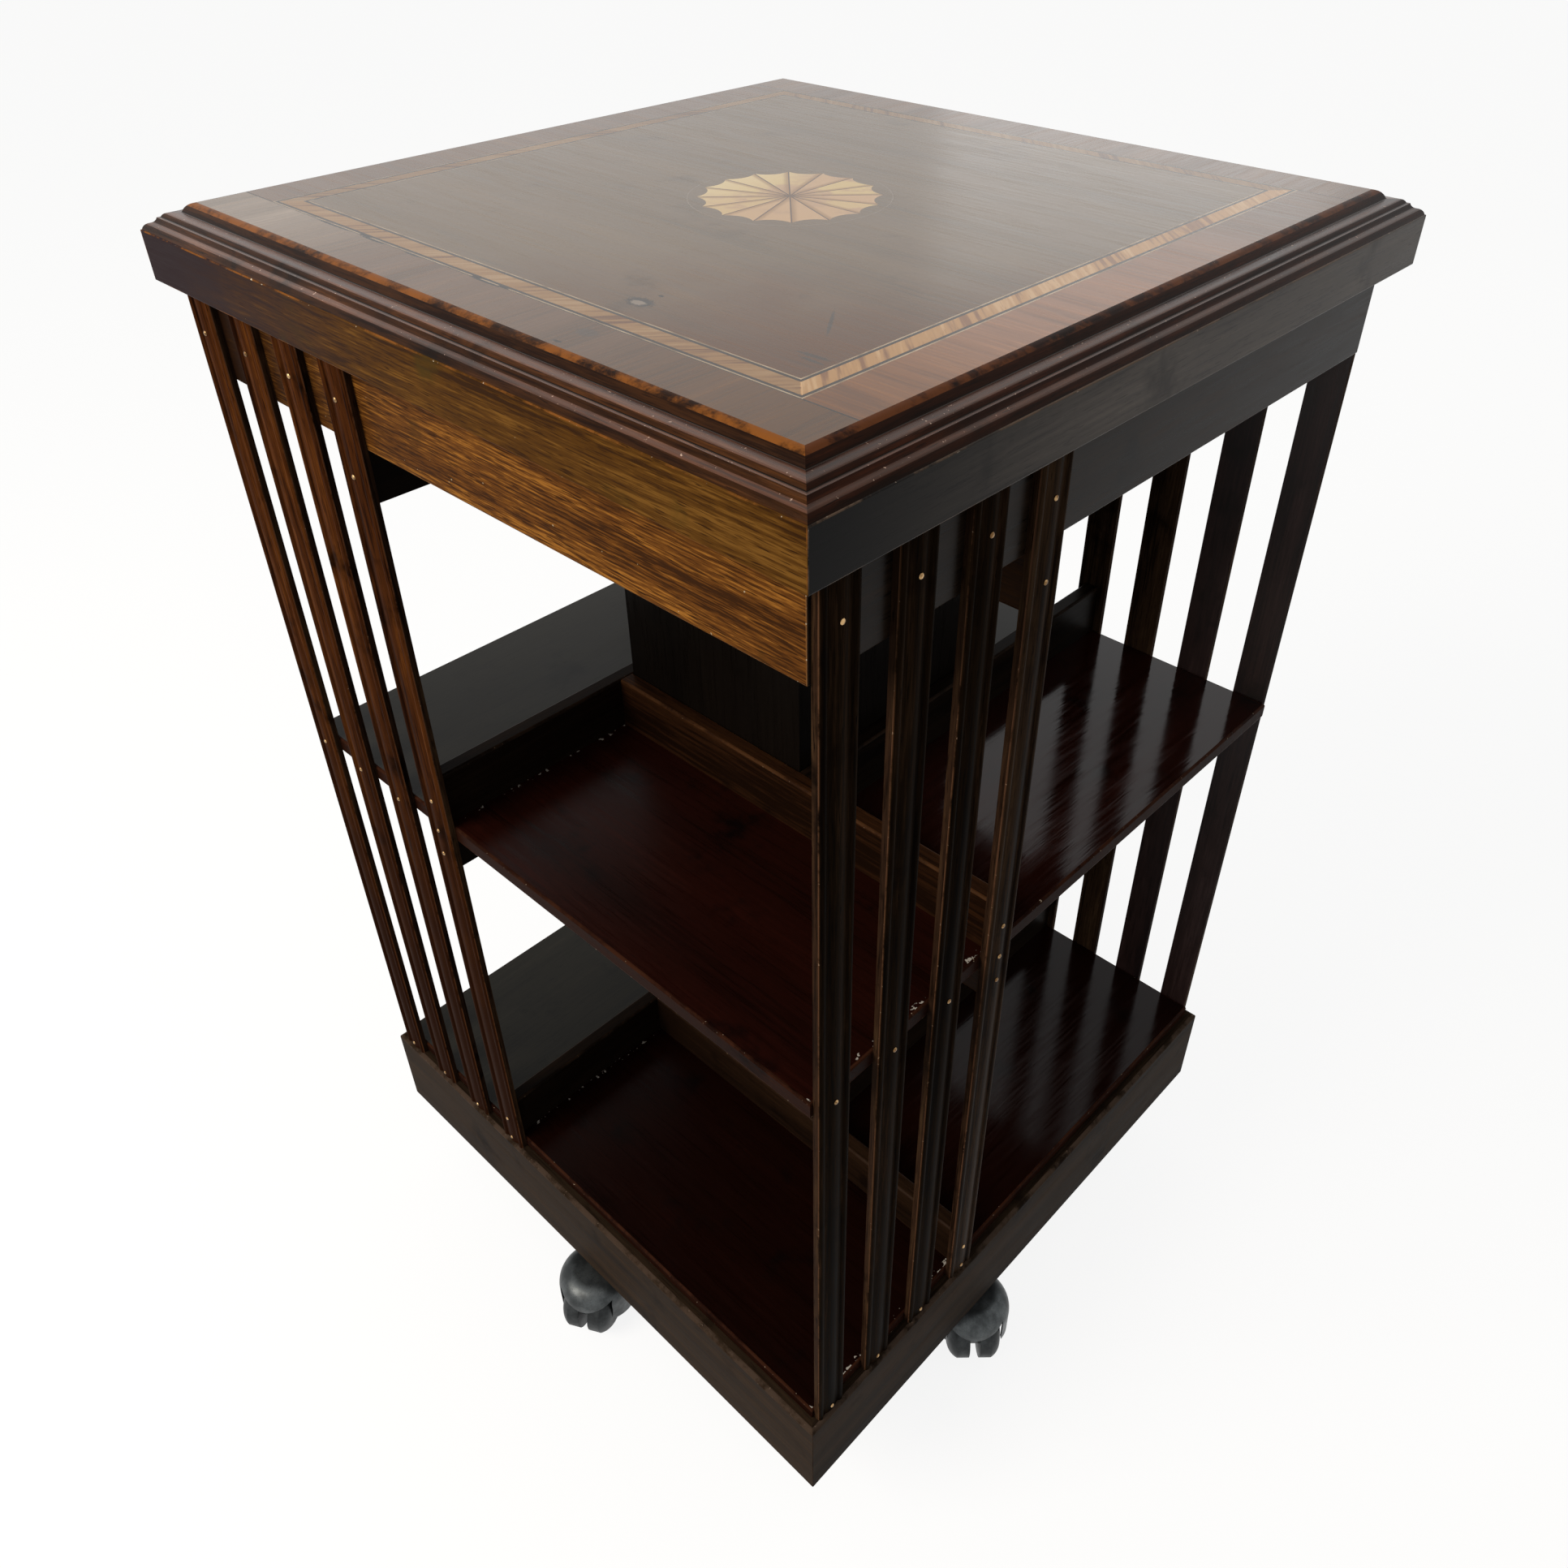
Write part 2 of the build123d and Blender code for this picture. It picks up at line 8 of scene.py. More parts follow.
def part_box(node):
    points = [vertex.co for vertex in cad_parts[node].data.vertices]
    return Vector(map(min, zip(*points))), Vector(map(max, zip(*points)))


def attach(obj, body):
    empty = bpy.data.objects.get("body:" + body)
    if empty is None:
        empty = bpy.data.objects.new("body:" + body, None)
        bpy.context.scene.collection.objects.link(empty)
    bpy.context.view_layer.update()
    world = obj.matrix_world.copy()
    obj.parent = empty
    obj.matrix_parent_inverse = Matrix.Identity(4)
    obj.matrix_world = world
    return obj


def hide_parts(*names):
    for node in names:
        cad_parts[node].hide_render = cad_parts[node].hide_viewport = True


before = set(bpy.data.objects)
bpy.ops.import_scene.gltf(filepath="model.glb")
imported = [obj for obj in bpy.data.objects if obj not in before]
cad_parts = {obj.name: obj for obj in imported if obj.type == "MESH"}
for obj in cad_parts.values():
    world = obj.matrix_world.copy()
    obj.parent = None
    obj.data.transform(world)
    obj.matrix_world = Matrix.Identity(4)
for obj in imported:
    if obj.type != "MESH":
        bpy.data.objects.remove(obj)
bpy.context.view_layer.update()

# The studio: a pale paper floor in a white surround. A broad soft lamp at the front left lights the front
# face, and a window behind the case lays a pale sheen over the right half of the polished top.
AMBIENT = 0.38
FLOOR_REACH = 30.0
FLOOR_GLOW = 0.87
scene = bpy.context.scene
scene.view_settings.view_transform = "Standard"


def linear(colour):
    """An sRGB hex colour as linear RGBA."""
    channels = [int(colour[place:place + 2], 16) / 255 for place in (1, 3, 5)]
    return [c / 12.92 if c <= 0.04045 else ((c + 0.055) / 1.055) ** 2.4 for c in channels] + [1.0]


def node(tree, kind, inputs=None, **settings):
    """Adds a node: settings are its properties, and each input takes a value or the socket linked to it."""
    made = tree.nodes.new("ShaderNode" + kind)
    for setting, value in settings.items():
        setattr(made, setting, value)
    for socket, value in (inputs or {}).items():
        if isinstance(value, bpy.types.NodeSocket):
            tree.links.new(value, made.inputs[socket])
        else:
            made.inputs[socket].default_value = value
    return made


def empty_tree(owner):
    """The node tree of a new material or world, without its default nodes."""
    owner.use_nodes = True
    owner.node_tree.nodes.clear()
    return owner.node_tree


def seen_directly(tree):
    """1 for rays from the camera, a reflection or glass, and 0 for the light that falls on the object."""
    ray = node(tree, "LightPath").outputs
    mirrored = node(tree, "Math", {0: ray["Is Glossy Ray"], 1: ray["Is Transmission Ray"]},
                    operation="MAXIMUM")
    seen = node(tree, "Math", {0: ray["Is Camera Ray"], 1: mirrored.outputs[0]}, operation="MAXIMUM")
    return seen.outputs[0]


def studio_lamp(name, place, aim, width, height, watts, tint):
    """A soft rectangular lamp that faces a point."""
    lamp = bpy.data.lights.new(name, "AREA")
    lamp.shape = "RECTANGLE"
    lamp.size = width
    lamp.size_y = height
    lamp.energy = watts
    lamp.color = linear(tint)[:3]
    holder = bpy.data.objects.new(name, lamp)
    holder.location = place
    holder.rotation_euler = (Vector(aim) - Vector(place)).to_track_quat("-Z", "Y").to_euler()
    scene.collection.objects.link(holder)


studio_lamp("key_lamp", place=(-0.55, -2.1, 1.95), aim=(0, 0, 0.6), width=1.3, height=1.3, watts=42,
            tint="#fff4e6")
studio_lamp("back_window", place=(-1.36, 2.67, 1.33), aim=(0, 0, 0.8), width=1.0, height=1.0, watts=1.5,
            tint="#ffffff")

# The surround is white to the eye and in reflections, and lights the object less than that.
surround = bpy.data.worlds.new("white_surround")
scene.world = surround
tree = empty_tree(surround)
level = node(tree, "MapRange", {"Value": seen_directly(tree), "To Min": AMBIENT, "To Max": 1.0})
white = node(tree, "Background", {"Color": linear("#ffffff"), "Strength": level.outputs[0]})
node(tree, "OutputWorld", {"Surface": white.outputs[0]})

# Matt floor paper: evenly pale to the eye, with the soft shadow of the case on it.
floor_paper = bpy.data.materials.new("floor_paper")
tree = empty_tree(floor_paper)
glow = node(tree, "Math", {0: seen_directly(tree), 1: FLOOR_GLOW}, operation="MULTIPLY")
paper = node(tree, "BsdfDiffuse", {"Color": linear("#7c7c7a")})
bright = node(tree, "Emission", {"Strength": glow.outputs[0]})
both = node(tree, "AddShader", {0: paper.outputs[0], 1: bright.outputs[0]})
node(tree, "OutputMaterial", {"Surface": both.outputs[0]})

bm = bmesh.new()
bmesh.ops.create_grid(bm, x_segments=1, y_segments=1, size=FLOOR_REACH)
floor_mesh = bpy.data.meshes.new("floor")
bm.to_mesh(floor_mesh)
bm.free()
floor_mesh.materials.append(floor_paper)
floor = bpy.data.objects.new("floor", floor_mesh)
scene.collection.objects.link(floor)

# The camera is fitted to the edges of the case.
camera = bpy.data.cameras.new("camera")
camera.lens = 29.589
camera.shift_x = -0.018297
camera.shift_y = -0.020869
camera_place = (0.49470, -0.50729, 0.99050)
camera_azimuth = radians(43.404)
camera_elevation = radians(37.764)
camera_roll = radians(-0.201)
viewer = bpy.data.objects.new("camera", camera)
turned = Matrix.Rotation(camera_azimuth, 4, "Z") @ Matrix.Rotation(pi / 2 - camera_elevation, 4, "X")
placed = Matrix.Translation(camera_place) @ turned
viewer.matrix_world = placed @ Matrix.Rotation(camera_roll, 4, "Z")
scene.collection.objects.link(viewer)
scene.camera = viewer

# The fixed base: two halved bars of stained beech that carry the castors, and the post tenoned through them.
# It is out of sight behind the plinth, planed and stained but never polished.
MM = 0.001
X, Y, Z = 0, 1, 2
GRAIN_STRETCH = 22.0
POLISH_PATCH = 42.0
RUBBED_PATCH = 26.0
CHIP_SIZE = 2.6
CHIP_START, CHIP_FULL = 0.69, 0.74
GRAIN_DEPTH = 0.12 * MM


def layer(tree, under, over, pattern, start, full):
    """Lays one colour over another where a pattern rises from start to full."""
    cover = node(tree, "MapRange", {"Value": pattern, "From Min": start, "From Max": full},
                 interpolation_type="SMOOTHSTEP")
    return node(tree, "MixRGB", {"Fac": cover.outputs[0], "Color1": under, "Color2": over}).outputs[0]


def pattern_noise(tree, place, size, detail=3.0, roughness=0.55, distortion=0.0):
    """Soft noise with features of one size in millimetres."""
    settings = {"Vector": place, "Scale": 1 / size, "Detail": detail, "Roughness": roughness,
                "Distortion": distortion}
    return node(tree, "TexNoise", settings).outputs["Fac"]


def millimetres(tree, along=None):
    """Object coordinates in millimetres, drawn out along the grain where an axis is given."""
    scale = [1 / MM] * 3
    if along is not None:
        scale[along] /= GRAIN_STRETCH
    place = node(tree, "TexCoord").outputs["Object"]
    return node(tree, "Mapping", {"Vector": place, "Scale": scale}).outputs["Vector"]


def timber(name, grain, deep, mid, light, worn="#8a5a32", chip="#c8b49a", polish="#120b08",
           polish_start=0.56, figure=24.0, ribbon=1.0, stripe=2.2, contrast=1.0, pore=0.55, pore_start=0.62,
           gloss=0.36, specular=0.3, sheen="#ffffff", wear_start=0.42, extra=None):
    """Stained and polished hardwood: ribbon figure, fine streaks, open pores, darker polish where hands have
    not rubbed it away, dark wax with painted shade in the hollows, and arrises rubbed through to bare wood
    with a few pale chips.
    Figure, stripe and pore are widths across the grain in mm, and the pores are drawn coarser than real ones
    so that they show. Grain is the axis that it runs along, or a function that bends it."""
    material = bpy.data.materials.new(name)
    tree = empty_tree(material)
    plain = millimetres(tree)
    drawn = grain(tree, plain) if callable(grain) else millimetres(tree, grain)
    broad = pattern_noise(tree, drawn, figure, distortion=0.5)
    fine = pattern_noise(tree, drawn, stripe, 4.0, 0.65)
    tone = node(tree, "Math", {0: broad, 1: ribbon, 2: fine}, operation="MULTIPLY_ADD").outputs[0]
    middle = 0.5 + 0.5 * ribbon
    colour = layer(tree, linear(deep), linear(mid), tone, middle - 0.22 / contrast, middle)
    colour = layer(tree, colour, linear(light), tone, middle, middle + 0.26 / contrast)
    pores = pattern_noise(tree, drawn, pore, 1.0)
    colour = layer(tree, colour, linear(deep), pores, pore_start, pore_start + 0.1)
    patches = pattern_noise(tree, plain, POLISH_PATCH, 4.0, 0.6)
    colour = layer(tree, colour, linear(polish), patches, polish_start, polish_start + 0.2)
    if extra:
        colour = extra(tree, colour, plain)
    arris = node(tree, "Attribute", attribute_name="arris").outputs["Fac"]
    rubbing = pattern_noise(tree, plain, RUBBED_PATCH, 6.0, 0.7)
    rubbed = node(tree, "Math", {0: arris, 1: rubbing}, operation="MULTIPLY")
    colour = layer(tree, colour, linear(worn), rubbed.outputs[0], wear_start, wear_start + 0.16)
    chips = pattern_noise(tree, plain, CHIP_SIZE, 2.0)
    chipped = node(tree, "Math", {0: arris, 1: chips}, operation="MULTIPLY")
    colour = layer(tree, colour, linear(chip), chipped.outputs[0], CHIP_START, CHIP_FULL)
    # Dark wax with painted shade in the hollows, where the arris mark is below zero.
    colour = layer(tree, linear(polish), colour, arris, -0.9, -0.1)
    rough = node(tree, "MapRange", {"Value": fine, "From Min": 0.3, "From Max": 0.7, "To Min": gloss - 0.06,
                                    "To Max": gloss + 0.08})
    relief = node(tree, "Bump", {"Height": tone, "Strength": 0.25, "Distance": GRAIN_DEPTH})
    wood = node(tree, "BsdfPrincipled", {
        "Base Color": colour, "Roughness": rough.outputs[0], "Normal": relief.outputs[0],
        "Specular IOR Level": specular, "Specular Tint": linear(sheen)})
    node(tree, "OutputMaterial", {"Surface": wood.outputs[0]})
    return material


def finish_node(name, material):
    """Gives a CAD node that keeps its shape the finish of its real material."""
    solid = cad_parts[name].data
    solid.materials.clear()
    solid.materials.append(material)


# Planed and stained beech: an even brown with short streaks and hardly any shine.
beech = dict(deep="#3a2416", mid="#573822", light="#6e4a2e", figure=30.0, gloss=0.55, specular=0.25)
finish_node("cross_bar_lower", timber("stained_beech_x", X, **beech))
finish_node("cross_bar_upper", timber("stained_beech_y", Y, **beech))
finish_node("centre_post", timber("stained_beech_z", Z, **beech))

# The bearings: the pivot pin and its socket, the guide ring, the castor ferrules and the axles. All are plain
# turned steel, dulled by old grease, and pressed into the wood or the casting that holds them.
SPECK_SIZE = 0.9
PIT_DEPTH = 0.08 * MM


def metal(name, colour, dull, rough, metallic, cloud):
    """Bare metal with cloudy tarnish: colour where it is rubbed, dull where it has darkened."""
    material = bpy.data.materials.new(name)
    tree = empty_tree(material)
    plain = millimetres(tree)
    clouds = pattern_noise(tree, plain, cloud, 5.0, 0.62)
    tint = layer(tree, linear(dull), linear(colour), clouds, 0.38, 0.66)
    specks = pattern_noise(tree, plain, SPECK_SIZE, 2.0)
    tint = layer(tree, tint, linear(dull), specks, 0.58, 0.72)
    haze = node(tree, "MapRange", {"Value": clouds, "To Min": rough + 0.12, "To Max": rough - 0.10})
    relief = node(tree, "Bump", {"Height": specks, "Strength": 0.2, "Distance": PIT_DEPTH})
    surface = node(tree, "BsdfPrincipled", {
        "Base Color": tint, "Roughness": haze.outputs[0], "Metallic": metallic, "Normal": relief.outputs[0]})
    node(tree, "OutputMaterial", {"Surface": surface.outputs[0]})
    return material


# Turned steel: mid grey, with dark clouds where the grease has dried.
steel = metal("turned_steel", "#9a9894", "#55524e", rough=0.42, metallic=1.0, cloud=12.0)
castors = ("right", "back", "left", "front")
for name in ("pivot_pin", "pivot_socket", "guide_ring", "castor_ferrules"):
    finish_node(name, steel)
for castor in castors:
    finish_node(f"castor_axle_{castor}", steel)

# The castors: hoods and pairs of domed wheels cast in a grey pot metal, which swivel on stems in the cross
# bars. The hoods have the soft dull shine of pewter, and the wheels under them are painted darker as shade.
pewter = metal("dull_pewter", "#565a5b", "#353839", rough=0.40, metallic=0.75, cloud=18.0)
# Painted shade: the wheels take a darker pewter than the hoods, for the shade beneath them.
shaded_wheel_pewter = metal("shaded_wheel_pewter", "#3a3d3e", "#262829", rough=0.48, metallic=0.75, cloud=14.0)
for castor in castors:
    finish_node(f"castor_hood_{castor}", pewter)
    finish_node(f"castor_wheel_{castor}_a", shaded_wheel_pewter)
    finish_node(f"castor_wheel_{castor}_b", shaded_wheel_pewter)

# The plinth: four mahogany boards mitred at the corners, their top edge rounded over and rubbed by shoes
# and brooms. The stain is thin here and reads as a dull dark brown.
SIDES = ("front", "right", "back", "left")
MITRE_EASE = 0.4 * MM
HAIR = 0.01 * MM


def fresh_mesh():
    """An empty bmesh with the mark for worn arrises."""
    bm = bmesh.new()
    bm.faces.layers.float.new("arris")
    return bm


def ease(bm, edges, width, segments=2, wear=1.0):
    """Rounds edges over and marks the new faces: 1 for an arris that rubs through, -1 for a hollow of dark
    wax and painted shade.
    """
    mark = bm.faces.layers.float["arris"]
    made = bmesh.ops.bevel(bm, geom=edges, offset=width, segments=segments, profile=0.5, affect="EDGES",
                           material=-1)
    for face in made["faces"]:
        face[mark] = wear


def turn_to(bm, side):
    """Turns a piece that was made on the front to its own side of the case."""
    bmesh.ops.rotate(bm, verts=bm.verts, cent=(0, 0, 0), matrix=Matrix.Rotation(side * pi / 2, 3, "Z"))


def stand(name, bm, materials, replaced, smooth_angle=40):
    """Makes a piece of the case from its bmesh and lets it stand for its CAD nodes."""
    bmesh.ops.recalc_face_normals(bm, faces=bm.faces)
    mark = bm.faces.layers.float["arris"]
    for face in bm.faces:
        face.smooth = True
    for edge in bm.edges:
        alike = len({face[mark] for face in edge.link_faces}) == 1
        edge.smooth = alike and edge.calc_face_angle(pi) < radians(smooth_angle)
    mesh = bpy.data.meshes.new(name)
    bm.to_mesh(mesh)
    bm.free()
    for material in materials:
        mesh.materials.append(material)
    piece = bpy.data.objects.new(name, mesh)
    scene.collection.objects.link(piece)
    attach(piece, "case")
    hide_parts(*replaced)


def mitred_board(inner, outer, bottom, top):
    """A front board of a mitred frame: the cube's ends move out as far as they stand from the axis."""
    bm = fresh_mesh()
    bmesh.ops.create_cube(bm, size=2)
    for corner in bm.verts:
        out = outer if corner.co.y < 0 else inner
        corner.co = (corner.co.x * out, -out, top if corner.co.z > 0 else bottom)
    return bm


def long_edges(bm, axis):
    """The edges that run along one axis."""
    return [e for e in bm.edges if abs((e.verts[0].co - e.verts[1].co).normalized()[axis]) > 0.9]


def outer_edges(bm, edges):
    """Those of some edges that lie furthest out on the front."""
    front = min(v.co.y for v in bm.verts)
    return [e for e in edges if all(v.co.y < front + HAIR for v in e.verts)]


def both_grains(name, **look):
    """One finish for boards that run along X and for those that run along Y, in the order of the sides."""
    along_x = timber(name + "_x", X, **look)
    along_y = timber(name + "_y", Y, **look)
    return (along_x, along_y, along_x, along_y)


PLINTH_ROUND = 3.0 * MM
PLINTH_THICK = 12.0 * MM
plinth_low, plinth_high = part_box("plinth")
# Thinly stained mahogany: a flat dull brown, a little paler along the rubbed top edge.
plinth_wood = both_grains("plinth_mahogany", deep="#1e1610", mid="#2f241a", light="#3d2e21", worn="#4a3c32",
                          chip="#66574a", polish="#18110c", gloss=0.46, specular=0.008, wear_start=0.40)
for side, face in enumerate(SIDES):
    bm = mitred_board(plinth_high.x - PLINTH_THICK, plinth_high.x, plinth_low.z, plinth_high.z)
    runs = outer_edges(bm, long_edges(bm, X))
    ease(bm, [e for e in runs if e.verts[0].co.z > plinth_low.z + MM], PLINTH_ROUND, segments=4)
    ease(bm, outer_edges(bm, long_edges(bm, Z)), MITRE_EASE)
    turn_to(bm, side)
    stand(f"plinth_{face}", bm, [plinth_wood[side]], ["plinth"])

# The floor board and the shelf between the tiers: wide mahogany boards under a deep red polish, pinned to the
# slats at their edges. Their right bays are still so glossy that the slats mirror in them, books have rubbed
# the front bays dull, and the far ones are hazy.
BOARD_ROUND = 1.5 * MM
POST_ROOM = 24.0 * MM
CRUMB_REACH = 1.4
CRUMB_SIZE = 3.6
floor_low, floor_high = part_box("floor_board")
shelf_low, shelf_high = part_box("mid_shelf")
column_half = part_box("column")[1].x


def polish_crumbs_and_glints(tree, colour, plain):
    """Pale crumbs of hardened polish, with painted glints on them, along the left rail's foot and between the
    feet of the right slats.
    """
    across = node(tree, "SeparateXYZ", {"Vector": plain}).outputs["X"]
    # Painted glints: pale specks for the light that catches the crumbs.
    crumbs = pattern_noise(tree, plain, CRUMB_SIZE, 2.0)
    rail_foot = -column_half / MM + CRUMB_REACH
    slat_feet = shelf_high.x / MM - 2 * CRUMB_REACH
    for line, start in ((rail_foot, 0.62), (slat_feet, 0.56)):
        beside = node(tree, "Math", {0: across, 1: line, 2: CRUMB_REACH}, operation="COMPARE").outputs[0]
        spots = node(tree, "Math", {0: beside, 1: crumbs}, operation="MULTIPLY").outputs[0]
        colour = layer(tree, colour, linear("#b8b2a8"), spots, start, start + 0.05)
    return colour


def draw_out(bm, faces, way):
    """Extrudes flat faces into a solid."""
    made = bmesh.ops.extrude_face_region(bm, geom=faces)["geom"]
    bmesh.ops.translate(bm, verts=[v for v in made if isinstance(v, bmesh.types.BMVert)], vec=way)


def bay_board(name, low, high, hole, replaced, finishes):
    """A square board with a hole in its middle, cut into the bays so that each has its own polish."""
    bm = fresh_mesh()
    board = bm.faces.new([bm.verts.new((high.x * x, high.x * y, high.z))
                          for x, y in ((-1, -1), (1, -1), (1, 1), (-1, 1))])
    bm.normal_update()
    bmesh.ops.inset_region(bm, faces=[board], thickness=high.x - hole, use_boundary=True,
                           use_even_offset=True)
    bmesh.ops.delete(bm, geom=[board], context="FACES")
    draw_out(bm, bm.faces[:], (0, 0, low.z - high.z))
    bm.normal_update()
    rims = [e for e in bm.edges if abs(e.verts[0].co.z - e.verts[1].co.z) < MM
            and all(max(abs(v.co.x), abs(v.co.y)) > hole + MM for v in e.verts) and e.calc_face_angle(0) > 1]
    ease(bm, rims, BOARD_ROUND, segments=3)
    for cut, way in (((0, -column_half, 0), (0, 1, 0)), ((column_half, 0, 0), (1, 0, 0)),
                     ((-column_half, 0, 0), (1, 0, 0))):
        bmesh.ops.bisect_plane(bm, geom=bm.verts[:] + bm.edges[:] + bm.faces[:], plane_co=cut, plane_no=way)
    bm.normal_update()
    for face in bm.faces:
        upright = abs(face.normal.z) < 0.99
        middle = face.calc_center_median()
        right_bay = middle.x > column_half and middle.y > -column_half
        front_bay = middle.x > -column_half and middle.y < -column_half
        face.material_index = 3 if upright else 0 if front_bay else 1 if right_bay else 2
    stand(name, bm, finishes, [replaced])


# French polish over a red stain. It glows where it is rubbed, mirrors where it is not, and is painted
# darker on the floor as the shade under the shelf, greyer in the far bays, and thin and dull on the boards'
# edges.
board_look = dict(deep="#160704", mid="#220b06", light="#2d1009", worn="#3a2014", polish="#0c0504",
                  figure=30.0, contrast=0.6)
rubbed_polish = timber("rubbed_red_mahogany", X, gloss=0.30, specular=0.08, extra=polish_crumbs_and_glints, **board_look)
glossy_polish = timber("glossy_red_mahogany", Y, gloss=0.09, specular=0.30, **board_look)
# Painted shade: darker colours for the floor board, which lies in the shade under the shelf.
shaded_look = dict(board_look, deep="#0e0402", mid="#160603", light="#1d0904")
shaded_polish = timber("shaded_red_mahogany", X, gloss=0.30, specular=0.06, extra=polish_crumbs_and_glints,
                       **shaded_look)
shaded_glossy_polish = timber("shaded_glossy_red_mahogany", Y, gloss=0.12, specular=0.16, **shaded_look)
hazy_polish = timber("hazy_grey_mahogany", Y, deep="#191713", mid="#24221c", light="#2e2b24", worn="#3a2014",
                     polish="#14120e", figure=30.0, contrast=0.6, gloss=0.34, specular=0.12)
edge_look = dict(board_look, mid="#26130c", light="#341c11")
board_edge = timber("board_edge_mahogany", X, gloss=0.40, specular=0.01, **edge_look)
bay_board("floor_bay_board", floor_low, floor_high, POST_ROOM, "floor_board",
          [shaded_polish, shaded_glossy_polish, hazy_polish, board_edge])
bay_board("mid_shelf_board", shelf_low, shelf_high, column_half, "mid_shelf",
          [rubbed_polish, glossy_polish, hazy_polish, board_edge])

# The column: four thin boards round the post, stained black and rubbed to a dull sheen, with their mitres
# left plain because the shelves and rails hide most of them.
column_wood = timber("ebonised_board", Z, deep="#0c0907", mid="#110d0a", light="#16110d", worn="#2c2018",
                     polish="#0a0705", contrast=0.6, gloss=0.30, specular=0.05)
finish_node("column", column_wood)

# The rails: plain mahogany strips glued along the pinwheel lines, above and below each shelf. They stop the
# books and carry the last slat of each face. Their free edges are rounded over.
RAIL_ROUND = 1.5 * MM
RAIL_THICK = 11.0 * MM
# Stained mahogany without much polish: brown along X, with painted shade darkening it on the floor and to
# nearly black along Y.
rail_look = dict(chip="#6a5440", polish="#100906", gloss=0.38, specular=0.02)
brown_rail = timber("brown_rail_mahogany", X, deep="#1a0e07", mid="#301c0f", light="#432915", worn="#4a2f1a",
                    **rail_look)
shaded_side_rail = timber("rail_mahogany_in_painted_shade", Y, deep="#0e0906", mid="#19110b", light="#211710", worn="#2a1e15",
                    **rail_look)
shaded_rail = timber("shaded_rail_mahogany", X, deep="#140c07", mid="#21150d", light="#2d1e13",
                     worn="#33241a", **rail_look)
rail_levels = {"floor_rails": 1, "shelf_hanging_rails": -1, "shelf_rails": 1, "top_hanging_rails": -1}
for level_name, free_side in rail_levels.items():
    rail_low, rail_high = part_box(level_name)
    free_edge = rail_high.z if free_side > 0 else rail_low.z
    along_x = shaded_rail if level_name == "floor_rails" else brown_rail
    for side, face in enumerate(SIDES):
        bm = fresh_mesh()
        bmesh.ops.create_cube(bm, size=2)
        for corner in bm.verts:
            corner.co = (rail_high.x if corner.co.x > 0 else -column_half,
                         -column_half if corner.co.y > 0 else -column_half - RAIL_THICK,
                         rail_high.z if corner.co.z > 0 else rail_low.z)
        free = [e for e in long_edges(bm, X) if abs(e.verts[0].co.z - free_edge) < MM]
        ease(bm, free, RAIL_ROUND, segments=3)
        turn_to(bm, side)
        # Painted shade: the rails along Y, away from the lamp, take the near black copy.
        rail_wood = shaded_side_rail if side % 2 else along_x
        stand(f"{level_name}_{face}", bm, [rail_wood], [level_name])

# The slats: sixteen reeded mahogany strips pinned over the edges of the boards, each planed with a bead along
# both sides and a wide reed between. Their arrises are rubbed and chipped down to bare wood.
EDGE_BEAD = 4.5 * MM
QUIRK = 1.2 * MM
REED_RISE = 1.3 * MM
SLAT_EASE = 0.45 * MM
ARC_STEPS = 6
FACING = 0.95
FOOT_DARK, FOOT_CLEAR = 350, 760
FOOT_CLOUD = 30.0
FOOT_SHIFT = 200.0
HAZY_SLATS = ("back_1", "back_2")


def outline_face(bm, corners):
    """A face from corners (x, y, swell). An edge to a corner with a swell is an arc, whose rise is that share
    of its chord, to the right of its way."""
    first = bm.verts.new((corners[0][0], corners[0][1], 0))
    last = first
    for x, y, swell in corners[1:]:
        start, end = last.co.copy(), Vector((x, y, 0))
        if swell:
            chord = end - start
            rise = swell * chord.length
            radius = (chord.length ** 2 / 4 + rise ** 2) / (2 * rise)
            right = Vector((chord.y, -chord.x, 0)).normalized()
            swept = bmesh.ops.spin(bm, geom=[last], cent=(start + end) / 2 + right * (rise - radius),
                                   axis=(0, 0, 1), angle=4 * atan(2 * swell), steps=ARC_STEPS)
            last = swept["geom_last"][0]
        else:
            last = bmesh.ops.extrude_vert_indiv(bm, verts=[last])["verts"][0]
        last.co = end
    bm.edges.new((last, first))
    return bmesh.ops.contextual_create(bm, geom=bm.edges[:])["faces"][0]


def shaded_foot(tree, colour, plain):
    """Paints shade low down on the slats, darker towards the foot."""
    height = node(tree, "SeparateXYZ", {"Vector": plain}).outputs["Z"]
    cloud = pattern_noise(tree, plain, FOOT_CLOUD)
    edge = node(tree, "Math", {0: cloud, 1: FOOT_SHIFT, 2: height}, operation="MULTIPLY_ADD").outputs[0]
    return layer(tree, linear("#2c170c"), colour, edge, FOOT_DARK, FOOT_CLEAR)


# One mahogany in five states: red on the front and left faces, with painted shade low down; brown
# and near black, as painted shade, on the right and back faces; thinly stained on the planed edges;
# and hazy on the inside of two slats at the back.
slat_look = dict(chip="#a88a70", polish="#0f0805", figure=14.0, stripe=1.6, gloss=0.40, wear_start=0.36)
red_slat = timber("red_slat_mahogany", Z, deep="#26130a", mid="#4a2812", light="#683c1a", worn="#764628",
                  specular=0.003, extra=shaded_foot, **slat_look)
dark_shade_slat = timber("dark_slat_mahogany_in_painted_shade", Z, deep="#1c130d", mid="#3a2a1d", light="#503c2b", worn="#5a3e2d",
                    specular=0.008, **slat_look)
deep_shade_slat = timber("slat_mahogany_in_deep_painted_shade", Z, deep="#0f0a07", mid="#1f150c", light="#36261a",
                    worn="#46301f", specular=0.003, **slat_look)
